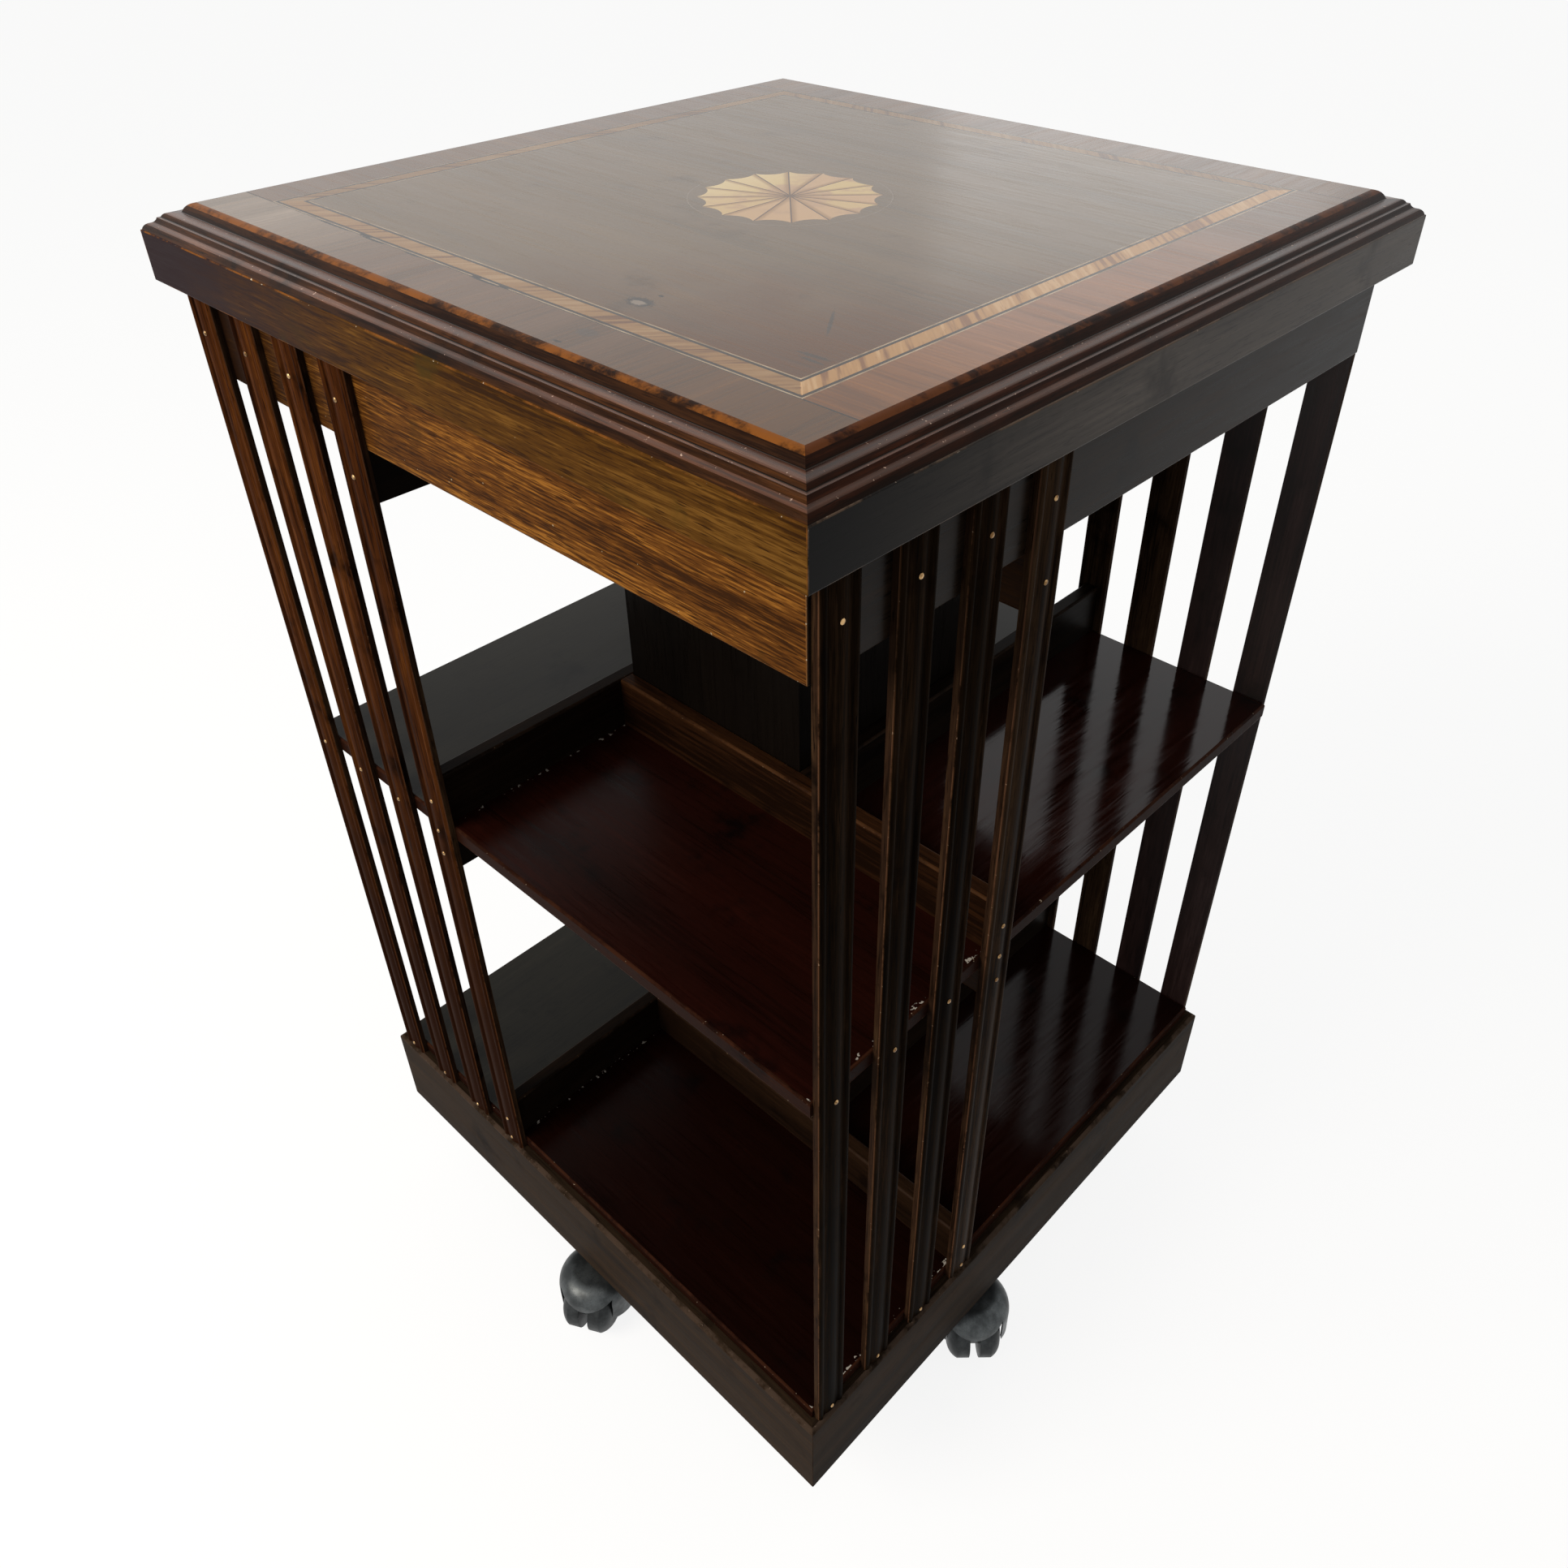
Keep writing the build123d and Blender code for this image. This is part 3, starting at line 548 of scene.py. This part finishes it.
slat_edge = timber("brown_slat_edge_mahogany", Z, deep="#1b110b", mid="#36251a", light="#4c3826",
                   worn="#6a4a36", specular=0.004, **slat_look)
grey_slat = timber("hazy_slat_mahogany", Z, deep="#1a1010", mid="#2b1c1a", light="#3c2b29", worn="#46342a",
                   specular=0.38, **slat_look)
# Painted light and shade: the lit front keeps the red copy, and the shaded right and back faces the dark
# ones.
slat_wood = ((red_slat,) * 4, (deep_shade_slat, deep_shade_slat, deep_shade_slat, dark_shade_slat),
             (dark_shade_slat,) * 4, (red_slat,) * 4)
for side, face in enumerate(SIDES):
    for place in range(1, 5):
        slat_low, slat_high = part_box(f"slat_front_{place}")
        half = (slat_high.x - slat_low.x) / 2
        proud = slat_high.y - slat_low.y
        ground = REED_RISE - proud
        bead_end = half - EDGE_BEAD
        reed_half = bead_end - QUIRK
        bm = fresh_mesh()
        section = outline_face(bm, [
            (-half, 0, 0), (-half, ground, 0), (-bead_end, ground, REED_RISE / EDGE_BEAD),
            (-reed_half, ground, 0), (reed_half, ground, REED_RISE / (2 * reed_half)),
            (bead_end, ground, 0), (half, ground, REED_RISE / EDGE_BEAD), (half, 0, 0)])
        draw_out(bm, [section], (0, 0, slat_high.z - slat_low.z))
        corners = [e for e in long_edges(bm, Z) if abs(abs(e.verts[0].co.x) - half) < HAIR]
        ease(bm, [e for e in corners if abs(e.verts[0].co.y - ground) < HAIR], SLAT_EASE)
        bmesh.ops.recalc_face_normals(bm, faces=bm.faces)
        for strip in bm.faces:
            strip.material_index = 1 if abs(strip.normal.x) > FACING else 2 if strip.normal.y > FACING else 0
        spot = ((slat_low.x + slat_high.x) / 2, slat_high.y, slat_low.z)
        bmesh.ops.translate(bm, verts=bm.verts, vec=spot)
        turn_to(bm, side)
        outside = slat_wood[side][place - 1]
        inside = grey_slat if f"{face}_{place}" in HAZY_SLATS else outside
        stand(f"slat_{face}_{place}_reeded", bm, [outside, slat_edge, inside], [f"slat_{face}_{place}"],
              smooth_angle=50)

# The pins: brass dowel pins driven through the slats into the boards and rails. Their heads are filed to low
# domes, worn to a dull gold that catches the light.
PIN_HEAD = 1.5 * MM
PIN_DOME = 0.9 * MM
frieze_low, frieze_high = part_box("frieze")
fascia_low, fascia_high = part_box("fascia")
board_heights = [(frieze_low.z + fascia_low.z) / 2, (shelf_low.z + shelf_high.z) / 2,
                 (floor_low.z + floor_high.z) / 2]
rail_heights = [(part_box(rail)[0].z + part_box(rail)[1].z) / 2 for rail in rail_levels]
bm = fresh_mesh()
for side in range(4):
    for place in range(1, 5):
        slat_low, slat_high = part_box(f"slat_front_{place}")
        for height in board_heights + (rail_heights if place == 4 else []):
            spot = Vector(((slat_low.x + slat_high.x) / 2, slat_low.y, height))
            flat = Matrix.Diagonal((PIN_HEAD, PIN_DOME, PIN_HEAD, 1))
            placed = Matrix.Rotation(side * pi / 2, 4, "Z") @ Matrix.Translation(spot) @ flat
            bmesh.ops.create_uvsphere(bm, u_segments=10, v_segments=6, radius=1, matrix=placed)
brass = metal("worn_brass", "#c8a474", "#6a4e30", rough=0.30, metallic=1.0, cloud=3.0)
stand("brass_pin_heads", bm, [brass], ["brass_pins"], smooth_angle=60)

# The frieze and the fascia: mitred boards round the head of the case, with straight streaky grain. The front
# is golden brown towards its right end, with the lamp's light painted in, and the other sides are dark polish
# with painted shade.
FRIEZE_THICK = 14.0 * MM
BOARD_EASE = 0.6 * MM
CORNER_WEAR = 1.12
FADE_START, FADE_END = -300, -60
FADE_CLOUD = 60.0
FADE_SHIFT = -160.0
BOARD_NICK = 2.4
NEAR_DARK, NEAR_CLEAR = -245, -20


def dark_polish_and_shade_along_front(dark):
    """Paints a dark polish with shade at the front's left end that clears cloudily to the right, and adds
    pale nicks.
    """
    def fade(tree, colour, plain):
        across = node(tree, "SeparateXYZ", {"Vector": plain}).outputs["X"]
        cloud = pattern_noise(tree, plain, FADE_CLOUD, 4.0, 0.6)
        edge = node(tree, "Math", {0: cloud, 1: FADE_SHIFT, 2: across}, operation="MULTIPLY_ADD")
        colour = layer(tree, linear(dark), colour, edge.outputs[0], FADE_START, FADE_END)
        nicks = pattern_noise(tree, plain, BOARD_NICK, 1.0)
        return layer(tree, colour, linear("#c8b898"), nicks, 0.80, 0.83)
    return fade


# Mahogany with its stain rubbed thin: golden streaks at the front, with painted light, dark polish and
# painted shade on the other sides, and a painted grey sheen on the right fascia.
front_frieze = timber("golden_mahogany_frieze", X, deep="#3d230e", mid="#6e431b", light="#b07632",
                      worn="#8a6038", chip="#d8c8ac", polish="#4a3414", polish_start=0.60, figure=14.0,
                      ribbon=0.5, stripe=1.0, contrast=1.4, pore=0.6, pore_start=0.57, gloss=0.44,
                      specular=0.015, extra=dark_polish_and_shade_along_front("#22140c"))
front_fascia = timber("golden_mahogany_fascia", X, deep="#38210c", mid="#5a3a14", light="#805926",
                      worn="#8a5626", chip="#e0d2b8", polish="#4c3a14", polish_start=0.60, figure=16.0,
                      ribbon=0.8, stripe=1.3, contrast=1.3, pore=0.6, pore_start=0.58, gloss=0.44,
                      specular=0.015, wear_start=0.44, extra=dark_polish_and_shade_along_front("#2f2427"))
dark_and_shaded_boards = both_grains("dark_polished_and_shaded_mahogany", deep="#120d0a", mid="#211811", light="#30231a",
                          worn="#4a3626", chip="#8f8070", polish="#0e0b09", figure=16.0, gloss=0.30,
                          specular=0.06)


def shade_near_end(tree, colour, plain):
    """Paints shade on the right fascia, darkest by the near corner."""
    along = node(tree, "SeparateXYZ", {"Vector": plain}).outputs["Y"]
    return layer(tree, linear("#060403"), colour, along, NEAR_DARK, NEAR_CLEAR)


# Painted sheen: the grey of the right fascia stands for the pale reflection along it.
right_fascia = timber("painted_grey_sheen_mahogany", Y, deep="#423b36", mid="#5e564f", light="#746b63",
                      worn="#6a5646", chip="#9c8c7c", polish="#36302b", figure=16.0, gloss=0.30,
                      specular=0.06, extra=shade_near_end)
frieze_wood = (front_frieze,) + dark_and_shaded_boards[1:]
fascia_wood = (front_fascia, right_fascia) + dark_and_shaded_boards[2:]
for side, face in enumerate(SIDES):
    for name, wood, inner, low, high in (
            ("frieze", frieze_wood[side], frieze_high.x - FRIEZE_THICK, frieze_low, frieze_high),
            ("fascia", fascia_wood[side], frieze_high.x, fascia_low, fascia_high)):
        bm = mitred_board(inner, high.x, low.z, high.z)
        ease(bm, outer_edges(bm, long_edges(bm, X)), BOARD_EASE)
        ease(bm, outer_edges(bm, long_edges(bm, Z)), BOARD_EASE, wear=CORNER_WEAR)
        turn_to(bm, side)
        stand(f"{name}_{face}", bm, [wood], [name])
finish_node("soffit_board", dark_and_shaded_boards[0])

# The moulding: four mitred lengths of mahogany run with an ovolo, a ledge, a bead, a cove and a torus, glued
# round the top. Its arrises are rubbed to bare orange wood, its quirks hold dark wax with painted shade, and
# its ledges shine, with a painted highlight in their colour.
MOULD_MEMBERS = [(6.3, 4.7, 0.15), (5.1, 0.2, 0), (3.1, 2.1, 0.15), (1.5, 0.1, 0), (3.0, 2.7, -0.15),
                 (3.6, 3.2, 0.15)]
MOULD_ARRISES = {1: -1.0, 2: 0.5, 3: -1.0, 5: 0.5}
ARRIS_WIDTH = 0.4 * MM
RUBBED_DEPTH = 1.6 * MM
RUBBED_RISE = 0.80
RUBBED_WEAR = 0.92
LEDGE_RISE = 0.90
LEDGE_NICK = 2.6
mould_low, mould_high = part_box("top_moulding")
top_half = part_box("top_board")[1].x
# Stained mahogany under a hard polish: dark curves with orange rubbed arrises, and warm ledges that shine and
# are painted lighter as highlight. The front is painted lighter and more orange than the shaded right side.
mould_look = dict(chip="#e4c8b4", polish="#140a06", figure=12.0, stripe=1.8, gloss=0.20, sheen="#ffd6bc",
                  wear_start=0.36)
orange_mould = dict(deep="#1e0f08", mid="#38200f", light="#583418", worn="#8e5522", **mould_look)
red_mould = dict(deep="#170b07", mid="#2c150c", light="#442214", worn="#66391c", **mould_look)
mould_curves = (timber("orange_moulding_curves", X, specular=0.06, **orange_mould),
                timber("red_moulding_curves", Y, specular=0.05, **red_mould))


def pale_nicks_and_glints(tree, colour, plain):
    """Small pale nicks along the ledges: partly bare wood, partly painted glints."""
    nicks = pattern_noise(tree, plain, LEDGE_NICK, 3.0, 0.7)
    return layer(tree, colour, linear("#d8b8a4"), nicks, 0.66, 0.71)


# Painted highlight: the ledges take a lighter, warmer colour than the curves, where the light catches them.
warm_highlight_ledge = dict(orange_mould, deep="#361d12", mid="#5c3826", light="#80563e")
brown_highlight_ledge = dict(red_mould, deep="#22120c", mid="#40261a", light="#5a3828")
mould_ledges = (timber("orange_moulding_ledges_painted_highlight", X, specular=0.38, extra=pale_nicks_and_glints, **warm_highlight_ledge),
                timber("red_moulding_ledges_painted_highlight", Y, specular=0.20, extra=pale_nicks_and_glints, **brown_highlight_ledge))
for side, face in enumerate(SIDES):
    out, height = top_half, mould_high.z
    section_corners = [(-out, height, 0)]
    for run, drop, swell in MOULD_MEMBERS:
        out += run * MM
        height -= drop * MM
        section_corners.append((-out, height, swell))
    bm = fresh_mesh()
    section = outline_face(bm, section_corners + [(-top_half, mould_low.z, 0)])
    draw_out(bm, [section], (0, 0, 1))
    for corner in bm.verts:
        distance, rise, end = corner.co
        corner.co = (distance if end < 0.5 else -distance, distance, rise)
    bmesh.ops.remove_doubles(bm, verts=bm.verts, dist=0.001 * MM)
    for place, wear in MOULD_ARRISES.items():
        distance, rise, _ = section_corners[place]
        spot = Vector((distance, rise))
        arris = [e for e in long_edges(bm, X) if all((v.co.yz - spot).length < HAIR for v in e.verts)]
        ease(bm, arris, ARRIS_WIDTH, wear=wear)
    bmesh.ops.recalc_face_normals(bm, faces=bm.faces)
    mark = bm.faces.layers.float["arris"]
    for strip in bm.faces:
        if strip.normal.z > RUBBED_RISE and strip.calc_center_median().z > mould_high.z - RUBBED_DEPTH:
            strip[mark] = RUBBED_WEAR
        elif strip.normal.z > LEDGE_RISE:
            strip.material_index = 1
    turn_to(bm, side)
    stand(f"moulding_{face}", bm, [mould_curves[side % 2], mould_ledges[side % 2]], ["top_moulding"],
          smooth_angle=30)

# The top: a mahogany field and border in veneer on a solid ground, French polished. The field has bleached to
# a greyish brown and stays redder by the near right corner, where the sun does not reach, and it is painted
# darker there as shade for the weaker sheen.
PALE_DENT, DARK_DENT, SCRATCH = "#8f8072", "#241811", "#43342a"
RED_DYE_AND_SHADE = (0.62, 0.33, 0.11, 1)
DYE_START, DYE_FULL = 230, 460
DYE_CLOUD = 90.0
DYE_SHIFT = 260.0
RAGGED_EDGE = 1.6
ANY_DEPTH = 1e5
STRING_WIDTH = 0.8
STRING_GAP = 1.6
BAND_WIDTH = 8.8
# The ground: plain brown mahogany, which the veneers hide from above.
finish_node("top_board", timber("top_ground_mahogany", X, deep="#2a160e", mid="#432618", light="#573422"))
field_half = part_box("satinwood_band")[1].x / MM - BAND_WIDTH - STRING_GAP - STRING_WIDTH


def side_by_side(tree, plain):
    """How far out a point lies towards the nearest edge of the top, and 1 where that is left or right."""
    split = node(tree, "SeparateXYZ", {"Vector": plain}).outputs
    sideways = node(tree, "Math", {0: split["X"]}, operation="ABSOLUTE").outputs[0]
    forwards = node(tree, "Math", {0: split["Y"]}, operation="ABSOLUTE").outputs[0]
    out = node(tree, "Math", {0: sideways, 1: forwards}, operation="MAXIMUM").outputs[0]
    return out, node(tree, "Math", {0: sideways, 1: forwards}, operation="GREATER_THAN").outputs[0]


def blemish(tree, colour, plain, centre, reach, turn, tint):
    """A dent or scratch in the polish: a ragged spot of one tint, with its reach each way in mm and its turn
    in degrees."""
    placing = {"Vector": plain, "Location": (*centre, 0), "Rotation": (0, 0, radians(turn)),
               "Scale": (*reach, ANY_DEPTH)}
    local = node(tree, "Mapping", placing, vector_type="TEXTURE").outputs[0]
    away = node(tree, "VectorMath", {0: local}, operation="LENGTH").outputs["Value"]
    torn = pattern_noise(tree, plain, RAGGED_EDGE)
    ragged = node(tree, "Math", {0: torn, 1: 0.8, 2: away}, operation="MULTIPLY_ADD")
    return layer(tree, linear(tint), colour, ragged.outputs[0], 0.9, 1.3)


def dyed(tree, colour, dye):
    """The wood's colour times a dye's shares of red, green and blue. Shares above 1 bleach it."""
    tinted = node(tree, "MixRGB", {"Fac": 1.0, "Color1": colour, "Color2": dye}, blend_type="MULTIPLY")
    return tinted.outputs[0]


def field_marks(tree, colour, plain):
    """The redder near corner, partly painted shade, the ebonised strips beside the band, and the dents and
    scratches of use.
    """
    split = node(tree, "SeparateXYZ", {"Vector": plain}).outputs
    # Painted shade: the near corner is dyed redder and darker, partly fading and partly for its weaker sheen.
    nearness = node(tree, "Math", {0: split["X"], 1: split["Y"]}, operation="SUBTRACT").outputs[0]
    cloud = pattern_noise(tree, plain, DYE_CLOUD)
    shade = node(tree, "Math", {0: cloud, 1: DYE_SHIFT, 2: nearness}, operation="MULTIPLY_ADD").outputs[0]
    colour = layer(tree, colour, dyed(tree, colour, RED_DYE_AND_SHADE), shade, DYE_START, DYE_FULL)
    for centre, reach, turn, tint in (
            ((68, -161), (10, 6.5), 0, DARK_DENT), ((68, -162), (5.5, 3.2), 0, PALE_DENT),
            ((69, -150), (2, 1.5), 0, DARK_DENT), ((164, -156), (12, 2), 3, SCRATCH),
            ((166, -160), (9, 1.4), -2, SCRATCH), ((144, -125), (20, 1.2), -53, SCRATCH)):
        colour = blemish(tree, colour, plain, centre, reach, turn, tint)
    out, _ = side_by_side(tree, plain)
    return layer(tree, colour, linear("#2a1c14"), out, field_half + 0.1, field_half + 0.3)


# French polished mahogany veneer, bleached by the sun: a low sheen over a soft greyish brown.
field_look = dict(deep="#61503c", mid="#75614a", light="#826d55", polish="#5c4a36", polish_start=0.58,
                  figure=34.0, contrast=0.7, pore_start=0.66, gloss=0.22, specular=0.40, sheen="#fff8ec")
finish_node("field_veneer", timber("field_mahogany", X, extra=field_marks, **field_look))

# The border: crossbanded mahogany, with the grain across each strip. The front and back strips run through
# and the side strips butt between them, with a dark line of glue at each joint.
CRACK = "#0e0806"
JOINT_HALF = 0.45
FAR_END = 200.0
BROWN_DYE_AND_SHADE, OLD_DYE_AND_SHADE = (0.70, 0.50, 0.17, 1), (0.70, 0.55, 0.21, 1)
GREY_BLEACH_AND_SHEEN, ROSE_BLEACH = (1.7, 2.2, 2.7, 1), (1.9, 1.55, 1.35, 1)
border_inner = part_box("stringing")[1].x / MM


def across_the_border(tree, plain):
    """Coordinates drawn out across each strip of the border."""
    split = node(tree, "SeparateXYZ", {"Vector": plain}).outputs
    forwards = node(tree, "Math", {0: split["Y"]}, operation="ABSOLUTE").outputs[0]
    through = node(tree, "Math", {0: forwards, 1: border_inner}, operation="GREATER_THAN").outputs[0]
    across_sides, across_ends = millimetres(tree, X), millimetres(tree, Y)
    return node(tree, "MixRGB", {"Fac": through, "Color1": across_sides, "Color2": across_ends}).outputs[0]


def border_marks(tree, colour, plain):
    """The glue lines at the butt joints, the uneven fading of the front and right strips, which holds a
    painted sheen at the front's left end and painted shade by the near right corner, and a dark patch, a chip
    and cracks in the front one."""
    split = node(tree, "SeparateXYZ", {"Vector": plain}).outputs
    forwards = node(tree, "Math", {0: split["Y"]}, operation="ABSOLUTE").outputs[0]
    joint = node(tree, "Math", {0: forwards, 1: border_inner, 2: JOINT_HALF}, operation="COMPARE").outputs[0]
    front = node(tree, "Math", {0: split["Y"], 1: -border_inner}, operation="LESS_THAN").outputs[0]
    on_front = node(tree, "Math", {0: front, 1: split["X"]}, operation="MULTIPLY").outputs[0]
    inside = node(tree, "Math", {0: forwards, 1: border_inner}, operation="LESS_THAN").outputs[0]
    near = node(tree, "Math", {0: -1.0, 1: split["Y"], 2: FAR_END}, operation="MULTIPLY_ADD").outputs[0]
    right = node(tree, "Math", {0: split["X"], 1: 0.0}, operation="GREATER_THAN").outputs[0]
    on_right = node(tree, "Math", {0: inside, 1: right}, operation="MULTIPLY").outputs[0]
    on_right = node(tree, "Math", {0: on_right, 1: near}, operation="MULTIPLY").outputs[0]
    # Painted sheen and shade: the front strip greyed at its left end, both strips darkened towards the near
    # corner.
    for pattern, start, full, dye in ((on_front, 30, 190, BROWN_DYE_AND_SHADE), (on_front, -40, -170, GREY_BLEACH_AND_SHEEN),
                                      (on_right, 60, 190, ROSE_BLEACH), (on_right, 240, 390, OLD_DYE_AND_SHADE)):
        colour = layer(tree, colour, dyed(tree, colour, dye), pattern, start, full)
    for centre, reach, tint in (
            ((80, -199), (8, 5), "#54443a"), ((79, -213), (3.5, 1.2), DARK_DENT),
            ((-128, -189.9), (22, 0.9), CRACK), ((-92, -190), (14, 1.0), CRACK),
            ((-58, -189.9), (10, 0.9), CRACK), ((-2, -189.9), (16, 0.9), CRACK)):
        colour = blemish(tree, colour, plain, centre, reach, 0, tint)
    return layer(tree, colour, linear("#241710"), joint, 0.4, 0.6)


# The same veneer as the field, a little redder, with short streaks across each strip.
border_look = dict(deep="#5e4633", mid="#735844", light="#876a54", polish="#5a4430", polish_start=0.62,
                   figure=20.0, contrast=0.8, pore_start=0.66, gloss=0.22, specular=0.40, sheen="#fff8ec")
finish_node("crossbanding", timber("border_mahogany", across_the_border, extra=border_marks, **border_look))

# The band and its strings: slips of satinwood laid crosswise, so that their figure shows as slanted gold and
# brown stripes, between boxwood lines that have lost a few short lengths along the front.
SLIP_SLANT = 0.9
SLIP_STRETCH = 0.12
SIDE_SHIFT = 900.0
SILK_WIDTH = 0.7
INLAY_DEPTH = 0.08 * MM
INLAY_GLOSS = 0.26
INLAY_SPECULAR = 0.38
FRONT_STRING = -188.6
LOST_WIDTH = 1.6
LOST_LENGTHS = ((-101, 7), (-10, 5), (10, 5))


def polish_inlay(tree, tint, silk):
    """Lays the top's French polish over an inlay, with the silk of the wood just to be felt in it."""
    relief = node(tree, "Bump", {"Height": silk, "Strength": 0.15, "Distance": INLAY_DEPTH})
    veneer = node(tree, "BsdfPrincipled", {
        "Base Color": tint, "Roughness": INLAY_GLOSS, "Normal": relief.outputs[0],
        "Specular IOR Level": INLAY_SPECULAR})
    node(tree, "OutputMaterial", {"Surface": veneer.outputs[0]})


def banded_satinwood(name, pale, gold, dark, stripe, front_shade_level, far_shade_level, lost=()):
    """Satinwood in slanted stripes, painted darker as shade along the front and far sides, and dark where a
    slip is lost.
    """
    material = bpy.data.materials.new(name)
    tree = empty_tree(material)
    plain = millimetres(tree)
    split = node(tree, "SeparateXYZ", {"Vector": plain}).outputs
    out, sideways = side_by_side(tree, plain)
    along = node(tree, "MapRange", {"Value": sideways, "To Min": split["X"], "To Max": split["Y"]}).outputs[0]
    slant = node(tree, "Math", {0: out, 1: SLIP_SLANT, 2: along}, operation="MULTIPLY_ADD").outputs[0]
    drawn_out = node(tree, "Math", {0: out, 1: SLIP_STRETCH}, operation="MULTIPLY").outputs[0]
    side_shift = node(tree, "Math", {0: sideways, 1: SIDE_SHIFT}, operation="MULTIPLY").outputs[0]
    run = node(tree, "CombineXYZ", {"X": slant, "Y": drawn_out, "Z": side_shift}).outputs[0]
    patches = pattern_noise(tree, run, 7 * stripe, 2.0, 0.5)
    stripes = node(tree, "Math", {0: patches, 1: 0.8, 2: pattern_noise(tree, run, stripe, 2.0, 0.5)},
                   operation="MULTIPLY_ADD").outputs[0]
    silk = pattern_noise(tree, run, SILK_WIDTH, 2.0)
    tint = layer(tree, linear(dark), linear(gold), stripes, 0.70, 0.88)
    tint = layer(tree, tint, linear(pale), stripes, 0.92, 1.08)
    tint = layer(tree, tint, linear(dark), silk, 0.60, 0.84)
    # Painted shade: the front and far strips are darkened, and the right one is left as lit.
    right = node(tree, "Math", {0: split["X"], 1: out}, operation="COMPARE").outputs[0]
    backwards = node(tree, "Math", {0: out, 1: -1.0}, operation="MULTIPLY").outputs[0]
    front = node(tree, "Math", {0: split["Y"], 1: backwards}, operation="COMPARE").outputs[0]
    sides = node(tree, "Math", {0: right, 1: 1 - far_shade_level, 2: far_shade_level}, operation="MULTIPLY_ADD")
    level = node(tree, "Math", {0: front, 1: front_shade_level - far_shade_level, 2: sides.outputs[0]},
                 operation="MULTIPLY_ADD")
    tint = node(tree, "HueSaturation", {"Color": tint, "Value": level.outputs[0]}).outputs[0]
    for middle, reach in lost:
        tint = blemish(tree, tint, plain, (middle, FRONT_STRING), (reach, LOST_WIDTH), 0, "#1c120c")
    polish_inlay(tree, tint, silk)
    return material


# Satinwood gives a silky gold, and boxwood an even cream with hardly any figure.
finish_node("satinwood_band", banded_satinwood("satinwood_band", "#d8ae7a", "#c4945a", "#8e5f34", stripe=4.5,
                                               front_shade_level=0.66, far_shade_level=0.52))
finish_node("stringing", banded_satinwood("boxwood_string", "#cdb797", "#bda585", "#927a5e", stripe=9.0,
                                          front_shade_level=0.9, far_shade_level=0.7, lost=LOST_LENGTHS))

# The fan: sixteen satinwood petals let into a round of the field's own mahogany. Each petal was dipped in hot
# sand along one side, which scorched it brown there, and the slips differ a little in tone.
PETALS = 16
EDGE_RADIUS = 54.0
FAN_CLOUD = 16.0
FAN_SILK = 1.2
PALE_LEFT = (-48.0, -8.0)
SCORCH_TONE = (-1.0, 5.0)
SCORCH_REACH = (2.0, 4.5)
HEART_REACH = (8.0, 20.0)
GLUE_LINE = (0.12, 0.55)
EYE_REACH = (1.5, 3.5)


def from_centre(tree, plain):
    """Distance from the middle of the top in mm."""
    flat = node(tree, "VectorMath", {0: plain, 1: (1, 1, 0)}, operation="MULTIPLY").outputs[0]
    return node(tree, "VectorMath", {0: flat}, operation="LENGTH").outputs["Value"]


def pale_rim(tree, colour, plain):
    """The fine pale line of the round's edge."""
    radius = from_centre(tree, plain)
    return layer(tree, colour, linear("#8a7a6a"), radius, EDGE_RADIUS - 0.9, EDGE_RADIUS - 0.5)


finish_node("patera_ground", timber("fan_ground_mahogany", X, extra=pale_rim, **field_look))

# Sand-scorched satinwood: pale gold petals that shade to brown at one side and at the heart of the fan.
fan_satinwood = bpy.data.materials.new("scorched_satinwood")
tree = empty_tree(fan_satinwood)
plain = millimetres(tree)
split = node(tree, "SeparateXYZ", {"Vector": plain}).outputs
angle = node(tree, "Math", {0: split["Y"], 1: split["X"]}, operation="ARCTAN2").outputs[0]
turns = node(tree, "Math", {0: angle, 1: PETALS / (2 * pi)}, operation="MULTIPLY").outputs[0]
petal = node(tree, "Math", {0: turns}, operation="FLOOR").outputs[0]
within = node(tree, "Math", {0: turns, 1: petal}, operation="SUBTRACT").outputs[0]
radius = from_centre(tree, plain)
arc = node(tree, "Math", {0: radius, 1: 2 * pi / PETALS}, operation="MULTIPLY").outputs[0]
from_start = node(tree, "Math", {0: within, 1: arc}, operation="MULTIPLY").outputs[0]
to_end = node(tree, "Math", {0: arc, 1: from_start}, operation="SUBTRACT").outputs[0]
from_joint = node(tree, "Math", {0: from_start, 1: to_end}, operation="MINIMUM").outputs[0]
tone = node(tree, "TexWhiteNoise", {"W": petal}, noise_dimensions="1D").outputs["Value"]
cloud = pattern_noise(tree, plain, FAN_CLOUD)
tint = layer(tree, linear("#d9b184"), linear("#e6c888"), tone, 0.2, 0.8)
tint = layer(tree, tint, linear("#cfa880"), cloud, 0.48, 0.66)
tint = layer(tree, linear("#f2d8a0"), tint, split["X"], *PALE_LEFT)
scorch = layer(tree, linear("#a37a4e"), tint, from_start, *SCORCH_TONE)
tint = layer(tree, scorch, tint, radius, *HEART_REACH)
tint = layer(tree, scorch, tint, from_start, *SCORCH_REACH)
tint = layer(tree, linear("#4a3220"), tint, from_joint, *GLUE_LINE)
tint = layer(tree, linear("#6a4c30"), tint, radius, *EYE_REACH)
silk = pattern_noise(tree, plain, FAN_SILK, 2.0)
polish_inlay(tree, tint, silk)
finish_node("patera", fan_satinwood)
